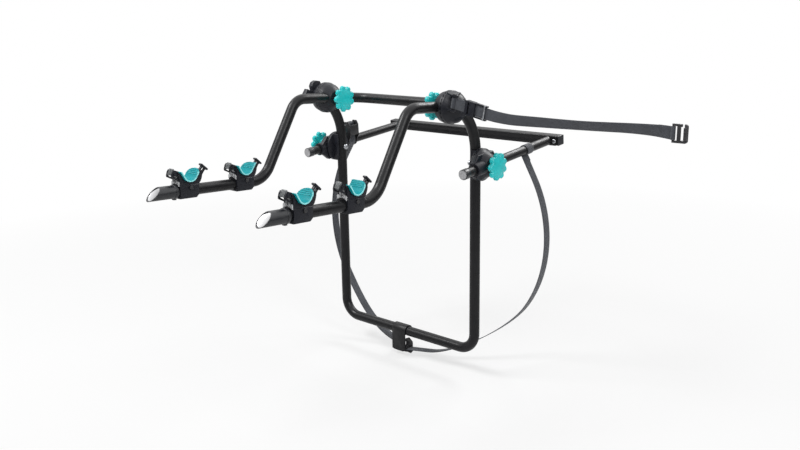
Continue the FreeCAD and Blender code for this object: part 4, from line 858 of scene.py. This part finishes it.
class RACK_OT_tyre_strap(bpy.types.Operator):
    """Webbing of the tyre strap, with its sewn loop and seams"""
    bl_idname = "rack.tyre_strap"
    bl_label = "Tyre strap"

    def execute(self, context):
        thickness = sizes().webbing_thickness
        along, _ = bar_axes()
        stations = tyre_strap_stations()
        strap = ribbon_piece("tyre_webbing", stations, None)
        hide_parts("tyre_strap")
        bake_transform(strap)
        centre = bar_centre(BAR_RIGHT_BACK)
        tip, _, outward = stations[-1]
        tangent = (tip - stations[-2][0]).normalized()
        ring = ring_round(centre, along, tip - centre, middle_radius(BAR_RADIUS), BAR_LOOP_STEPS)
        ribbon_piece("strap_loop", ring, "hook_frame", closed=True)
        flap = []
        for i in range(HEM_STEPS + 1):
            back = sizes().hem * i / HEM_STEPS
            rise = thickness * (HEM_HEIGHT - HEM_DIP * eased(1 - i / HEM_DIP_STEPS))
            spot = tip - tangent * (back - HEM_OVERLAP) + outward * rise
            flap.append((spot, along, outward))
        ribbon_piece("strap_hem", flap, "hook_frame", narrower=HEM_NARROWER)
        raised = outward * thickness * SEAM_ON_HEM
        lines = [seam_across(tip - tangent * back + raised, along) for back in SEAM_BACKS]
        for side in (-1, 1):
            shift = along * (side * (sizes().webbing_width / 2 - SIDE_SEAM_MARGIN)) + raised
            lines.append([tip - tangent * back + shift for back in SIDE_SEAM_ENDS])
        sewn("strap_seams", lines, "hook_frame")
        return {"FINISHED"}


# Security strap

def security_stations():
    """Smooth stations of the long strap, read from one spline."""
    line = smooth_line([p[:3] for p in SECURITY_ROUTE])
    lean = smooth_line([(p[0], p[3] / LEAN_SCALE, 0) for p in SECURITY_ROUTE])
    stations = []
    for i, centre in enumerate(line):
        ahead = line[min(i + 1, len(line) - 1)] - line[max(i - 1, 0)]
        tangent = ahead.normalized()
        near = min(lean, key=lambda p: abs(p.x - centre.x))
        angle = math.radians(near.y * LEAN_SCALE)
        edge = Vector((0, -math.sin(angle), math.cos(angle)))
        across = (edge - tangent * edge.dot(tangent)).normalized()
        stations.append((centre, across, across.cross(tangent).normalized()))
    return line, stations


def between(stations, limits):
    low, high = limits
    return [s for s in stations if low < s[0].x < high]


class RACK_OT_security_strap(bpy.types.Operator):
    """Long strap from the right hub, held out straight, with its loops and seams"""
    bl_idname = "rack.security_strap"
    bl_label = "Security strap"

    def execute(self, context):
        thickness = sizes().webbing_thickness
        line, stations = security_stations()
        strap = ribbon_piece("security_webbing", stations, "frame")
        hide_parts("security_strap")
        slope = Vector((math.cos(ANCHOR_SLOPE), 0, -math.sin(ANCHOR_SLOPE)))
        axis = Vector((math.sin(ANCHOR_SLOPE), 0, math.cos(ANCHOR_SLOPE)))
        pin_ring = ring_round(ANCHOR, axis, slope, middle_radius(ANCHOR_PIN_RADIUS),
                              PIN_LOOP_STEPS)
        end_ring = ring_round(END_BAR, Vector((0, 0, 1)), Vector((-1, 0, 0)),
                              middle_radius(END_BAR_RADIUS), PIN_LOOP_STEPS)
        sign = 1 if stations[-1][2].y < 0 else -1
        anchor_hem = lifted(between(stations, ANCHOR_HEM), thickness)
        end_hem = lifted(between(stations, END_HEM), -sign * thickness * END_HEM_HEIGHT)
        loops = [
            ribbon_piece("anchor_loop", pin_ring, "frame", closed=True),
            ribbon_piece("end_loop", end_ring, "frame", closed=True),
            ribbon_piece("anchor_hem", anchor_hem, "frame", narrower=HEM_NARROWER),
            ribbon_piece("end_hem", end_hem, "frame", narrower=HEM_NARROWER),
        ]
        seams = [(x, SEAM_ON_HEM) for x in ANCHOR_SEAMS]
        seams += [(x, SEAM_ON_STRAP * sign) for x in END_SEAMS]
        lines = []
        for target, height in seams:
            centre, across, outward = min(stations, key=lambda s: abs(s[0].x - target))
            lines.append(seam_across(centre + outward * (thickness * height), across))
        loops.append(sewn("security_seams", lines, "frame"))
        return {"FINISHED"}


# Rigid parts

class RACK_OT_tubes(bpy.types.Operator):
    """Powder coated tubes, the square crossbar and their tabs"""
    bl_idname = "rack.tubes"
    bl_label = "Tubes"

    def execute(self, context):
        pressed = sizes().pressed_edge
        for node in ("wheel_hoop", "arm_frame", "side_bar_right", "side_bar_left"):
            coat(node, "Powder coat", "frame_steel")
        softened("rear_crossbar", "crossbar_tube", "Powder coat",
                 CROSSBAR_EDGE, segments=3)
        softened("bar_tabs", "crossbar_tabs", "Powder coat", pressed)
        softened("bottom_hook", "bottom_hook_plate", "Black paint", pressed)
        return {"FINISHED"}


class RACK_OT_joints(bpy.types.Operator):
    """Toothed hub and clamp mouldings"""
    bl_idname = "rack.joints"
    bl_label = "Hub and clamp mouldings"

    def execute(self, context):
        for side in SIDES:
            for kind in ("hub_socket", "hub_saddle", "upright_saddle", "bar_housing"):
                node = f"{kind}_{side}"
                softened(node, node + "_moulding", "Moulded plastic",
                         sizes().moulded_edge)
        return {"FINISHED"}


class RACK_OT_knobs(bpy.types.Operator):
    """Turquoise hand knobs"""
    bl_idname = "rack.knobs"
    bl_label = "Hand knobs"

    def execute(self, context):
        for side in SIDES:
            for level in LEVELS:
                node = f"{level}_knob_{side}"
                softened(node, node + "_grip", "Knob plastic",
                         sizes().moulded_edge, segments=3)
        return {"FINISHED"}


def cap_faces(mesh):
    """Gives the slanting face of an arm cap its bright insert."""
    mesh.materials.append(bpy.data.materials["Cap insert"])
    for face in mesh.polygons:
        x, y, z = face.normal
        slanting = y < -SLANT_SHARE and z > SLANT_SHARE and abs(x) < SLANT_SIDEWAYS
        if slanting and face.area > SLANT_AREA:
            face.material_index = 1


def end_faces(mesh):
    """Gives the flat front of a bar cap its paler moulding."""
    mesh.materials.append(bpy.data.materials["Pale end face"])
    for face in mesh.polygons:
        if face.normal.y < -FRONT_SHARE:
            face.material_index = 1


class RACK_OT_caps(bpy.types.Operator):
    """End caps of the arms, the side bars and the crossbar"""
    bl_idname = "rack.caps"
    bl_label = "End caps"

    def execute(self, context):
        for side in SIDES:
            softened(f"arm_cap_{side}", f"arm_end_{side}", "Cap plastic",
                     ARM_CAP_EDGE, paint=cap_faces)
        softened("side_bar_caps", "side_bar_ends", "Cap plastic", CAP_EDGE,
                 paint=end_faces)
        softened("crossbar_caps", "crossbar_ends", "Cap plastic", CAP_EDGE)
        return {"FINISHED"}


class RACK_OT_cradles(bpy.types.Operator):
    """Cradles with their soft linings and retaining straps"""
    bl_idname = "rack.cradles"
    bl_label = "Cradles"

    def execute(self, context):
        edge = sizes().moulded_edge
        for side in SIDES:
            for place in PLACES:
                tail = f"{side}_{place}"
                softened(f"cradle_{tail}", f"cradle_{tail}_moulding", "Moulded plastic",
                         edge * CRADLE_EDGE_SHARE)
                softened(f"cradle_liner_{tail}", f"lining_{tail}", "Lining",
                         edge * RUBBER_EDGE_SHARE)
                softened(f"retaining_strap_{tail}", f"rubber_strap_{tail}", "Milky rubber",
                         edge * RUBBER_EDGE_SHARE)
        return {"FINISHED"}


class RACK_OT_fasteners(bpy.types.Operator):
    """Bolts, nuts, pins and screws"""
    bl_idname = "rack.fasteners"
    bl_label = "Fasteners"

    def execute(self, context):
        for side in SIDES:
            for level in LEVELS:
                softened(f"{level}_knob_nut_{side}", f"{level}_nut_{side}", "Zinc plate",
                         FASTENER_EDGE)
        for node in ("upper_bolts", "lower_bolts", "tab_bolts"):
            softened(node, node + "_plated", "Zinc plate", FASTENER_EDGE)
        softened("cradle_screws", "cradle_screw_heads", "Black steel",
                 FASTENER_EDGE)
        softened("strap_pins", "strap_hinge_pins", "Moulded plastic", PIN_EDGE)
        softened("bottom_hook_rivet", "hook_rivet", "Black steel", FASTENER_EDGE)
        softened("strap_anchor_pin", "anchor_pin", "Black steel", FASTENER_EDGE)
        return {"FINISHED"}


class RACK_OT_buckles(bpy.types.Operator):
    """Cam buckle, ladder buckle and the strap's end plate"""
    bl_idname = "rack.buckles"
    bl_label = "Buckles"

    def execute(self, context):
        edge = sizes().pressed_edge
        softened("tyre_buckle", "cam_buckle_bracket", "Black steel", edge)
        softened("tyre_buckle_drum", "cam_buckle_drum", "Zinc plate", edge)
        softened("tyre_buckle_lever", "cam_buckle_lever", "Black steel", edge)
        softened("security_buckle", "ladder_buckle", "Moulded plastic",
                 edge * BUCKLE_EDGE_SHARE)
        softened("security_bar", "ladder_bar", "Zinc plate", edge)
        softened("security_hook_plate", "security_end_plate", "Black steel", edge)
        return {"FINISHED"}


# Stage

def light(name, place, size, power):
    data = bpy.data.lights.new(name, "AREA")
    data.shape = "RECTANGLE"
    data.size, data.size_y = size
    data.energy = power
    lamp = add_object(name, data)
    lamp.location = place
    lamp.rotation_euler = (LIT_PLACE - Vector(place)).to_track_quat("-Z", "Y").to_euler()


def background_rays(tree):
    """1 for rays that come from the camera, straight or through glass."""
    path = add_node(tree, "ShaderNodeLightPath").outputs
    return maths(tree, "MAXIMUM", path["Is Camera Ray"], path["Is Transmission Ray"])


def build_world():
    """White behind the object, a soft room round it and a brighter ceiling in its gloss."""
    world = bpy.data.worlds.new("Studio")
    world.use_nodes = True
    tree = world.node_tree
    tree.nodes.clear()
    up = along_axis(tree, coordinates(tree, "Generated"), "Z")
    gloss = add_node(tree, "ShaderNodeLightPath").outputs["Is Glossy Ray"]
    ceiling = spread(tree, up, low=0.05, high=0.75, to_low=0.16, to_high=1.9)
    in_gloss = maths(tree, "MULTIPLY", gloss, ceiling)
    elsewhere = maths(tree, "MULTIPLY", maths(tree, "SUBTRACT", 1.0, gloss), ROOM_LIGHT)
    level = maths(tree, "ADD", in_gloss, elsewhere)
    soft = add_node(tree, "ShaderNodeBackground", {"Color": WHITE, "Strength": level})
    white = add_node(tree, "ShaderNodeBackground", {"Color": WHITE, "Strength": 1.0})
    both = add_node(tree, "ShaderNodeMixShader",
                    {0: background_rays(tree), 1: soft.outputs[0], 2: white.outputs[0]})
    end = tree.nodes.new("ShaderNodeOutputWorld")
    tree.links.new(both.outputs[0], end.inputs["Surface"])
    bpy.context.scene.world = world


def build_floor():
    """Pale floor that reads as white where no shadow falls."""
    material, tree = new_material("Studio floor")
    tree.nodes.clear()
    shade = add_node(tree, "ShaderNodeBsdfDiffuse", {"Color": (*colours().floor, 1)})
    glow = add_node(tree, "ShaderNodeEmission", {"Color": WHITE, "Strength": 1.0})
    away = add_node(tree, "ShaderNodeVectorMath", {0: coordinates(tree)}, operation="LENGTH")
    glowing = spread(tree, away.outputs["Value"], low=0.7, high=2.4, to_low=0.66, to_high=1.0)
    share = maths(tree, "MULTIPLY", background_rays(tree), glowing)
    both = add_node(tree, "ShaderNodeMixShader",
                    {0: share, 1: shade.outputs[0], 2: glow.outputs[0]})
    end = tree.nodes.new("ShaderNodeOutputMaterial")
    tree.links.new(both.outputs[0], end.inputs["Surface"])
    level = cad_low.z - FLOOR_BELOW
    corners = [(x * FLOOR_REACH, y * FLOOR_REACH, level)
               for x, y in ((-1, -1), (1, -1), (1, 1), (-1, 1))]
    mesh = bpy.data.meshes.new("floor")
    mesh.from_pydata(corners, [], [(0, 1, 2, 3)])
    mesh.materials.append(material)
    floor = add_object("floor", mesh)


def build_camera():
    flat = math.cos(CAMERA_ELEVATION)
    back = Vector((math.sin(CAMERA_AZIMUTH) * flat, -math.cos(CAMERA_AZIMUTH) * flat,
                   math.sin(CAMERA_ELEVATION)))
    level_right = Vector((math.cos(CAMERA_AZIMUTH), math.sin(CAMERA_AZIMUTH), 0))
    level_up = back.cross(level_right)
    right = level_right * math.cos(CAMERA_ROLL) + level_up * math.sin(CAMERA_ROLL)
    up = level_up * math.cos(CAMERA_ROLL) - level_right * math.sin(CAMERA_ROLL)
    data = bpy.data.cameras.new("Camera")
    data.sensor_width = CAMERA_SENSOR
    data.lens = CAMERA_LENS
    data.clip_end = CAMERA_SIGHT
    camera = add_object("Camera", data)
    turn = Matrix((right, up, back)).transposed().to_4x4()
    camera.matrix_world = Matrix.Translation(CAMERA_PLACE) @ turn
    bpy.context.scene.camera = camera


class RACK_OT_stage(bpy.types.Operator):
    """Floor, studio light and the camera"""
    bl_idname = "rack.stage"
    bl_label = "Stage"

    def execute(self, context):
        build_world()
        build_floor()
        build_camera()
        for name, place, size, power in LIGHTS:
            light(name, place, size, power)
        context.scene.view_settings.view_transform = "Standard"
        return {"FINISHED"}


class RACK_OT_finishes(bpy.types.Operator):
    """Node groups and materials of every finish"""
    bl_idname = "rack.finishes"
    bl_label = "Finishes"

    def execute(self, context):
        build_groups()
        build_materials()
        return {"FINISHED"}


class RACK_PT_panel(bpy.types.Panel):
    """Sizes, colours and steps of the rack"""
    bl_idname = "RACK_PT_panel"
    bl_label = "Bike rack"
    bl_space_type = "VIEW_3D"
    bl_region_type = "UI"
    bl_category = "Bike rack"

    def draw(self, context):
        for group in (context.scene.rack_sizes, context.scene.rack_colours):
            box = self.layout.box()
            for key in group.bl_rna.properties.keys():
                if key not in ("rna_type", "name"):
                    box.prop(group, key)
        for step in STEPS:
            self.layout.operator(step.bl_idname)


STEPS = (
    RACK_OT_finishes, RACK_OT_tubes, RACK_OT_joints, RACK_OT_knobs, RACK_OT_caps,
    RACK_OT_cradles, RACK_OT_fasteners, RACK_OT_buckles, RACK_OT_tyre_strap,
    RACK_OT_security_strap, RACK_OT_stage,
)
CLASSES = (RackColours, RackSizes, *STEPS, RACK_PT_panel)


def register():
    for cls in CLASSES:
        bpy.utils.register_class(cls)
    bpy.types.Scene.rack_colours = bpy.props.PointerProperty(type=RackColours)
    bpy.types.Scene.rack_sizes = bpy.props.PointerProperty(type=RackSizes)


def unregister():
    del bpy.types.Scene.rack_colours
    del bpy.types.Scene.rack_sizes
    for cls in reversed(CLASSES):
        bpy.utils.unregister_class(cls)


def main():
    register()
    for step in STEPS:
        group, name = step.bl_idname.split(".")
        getattr(getattr(bpy.ops, group), name)()


if __name__ == "__main__":
    main()
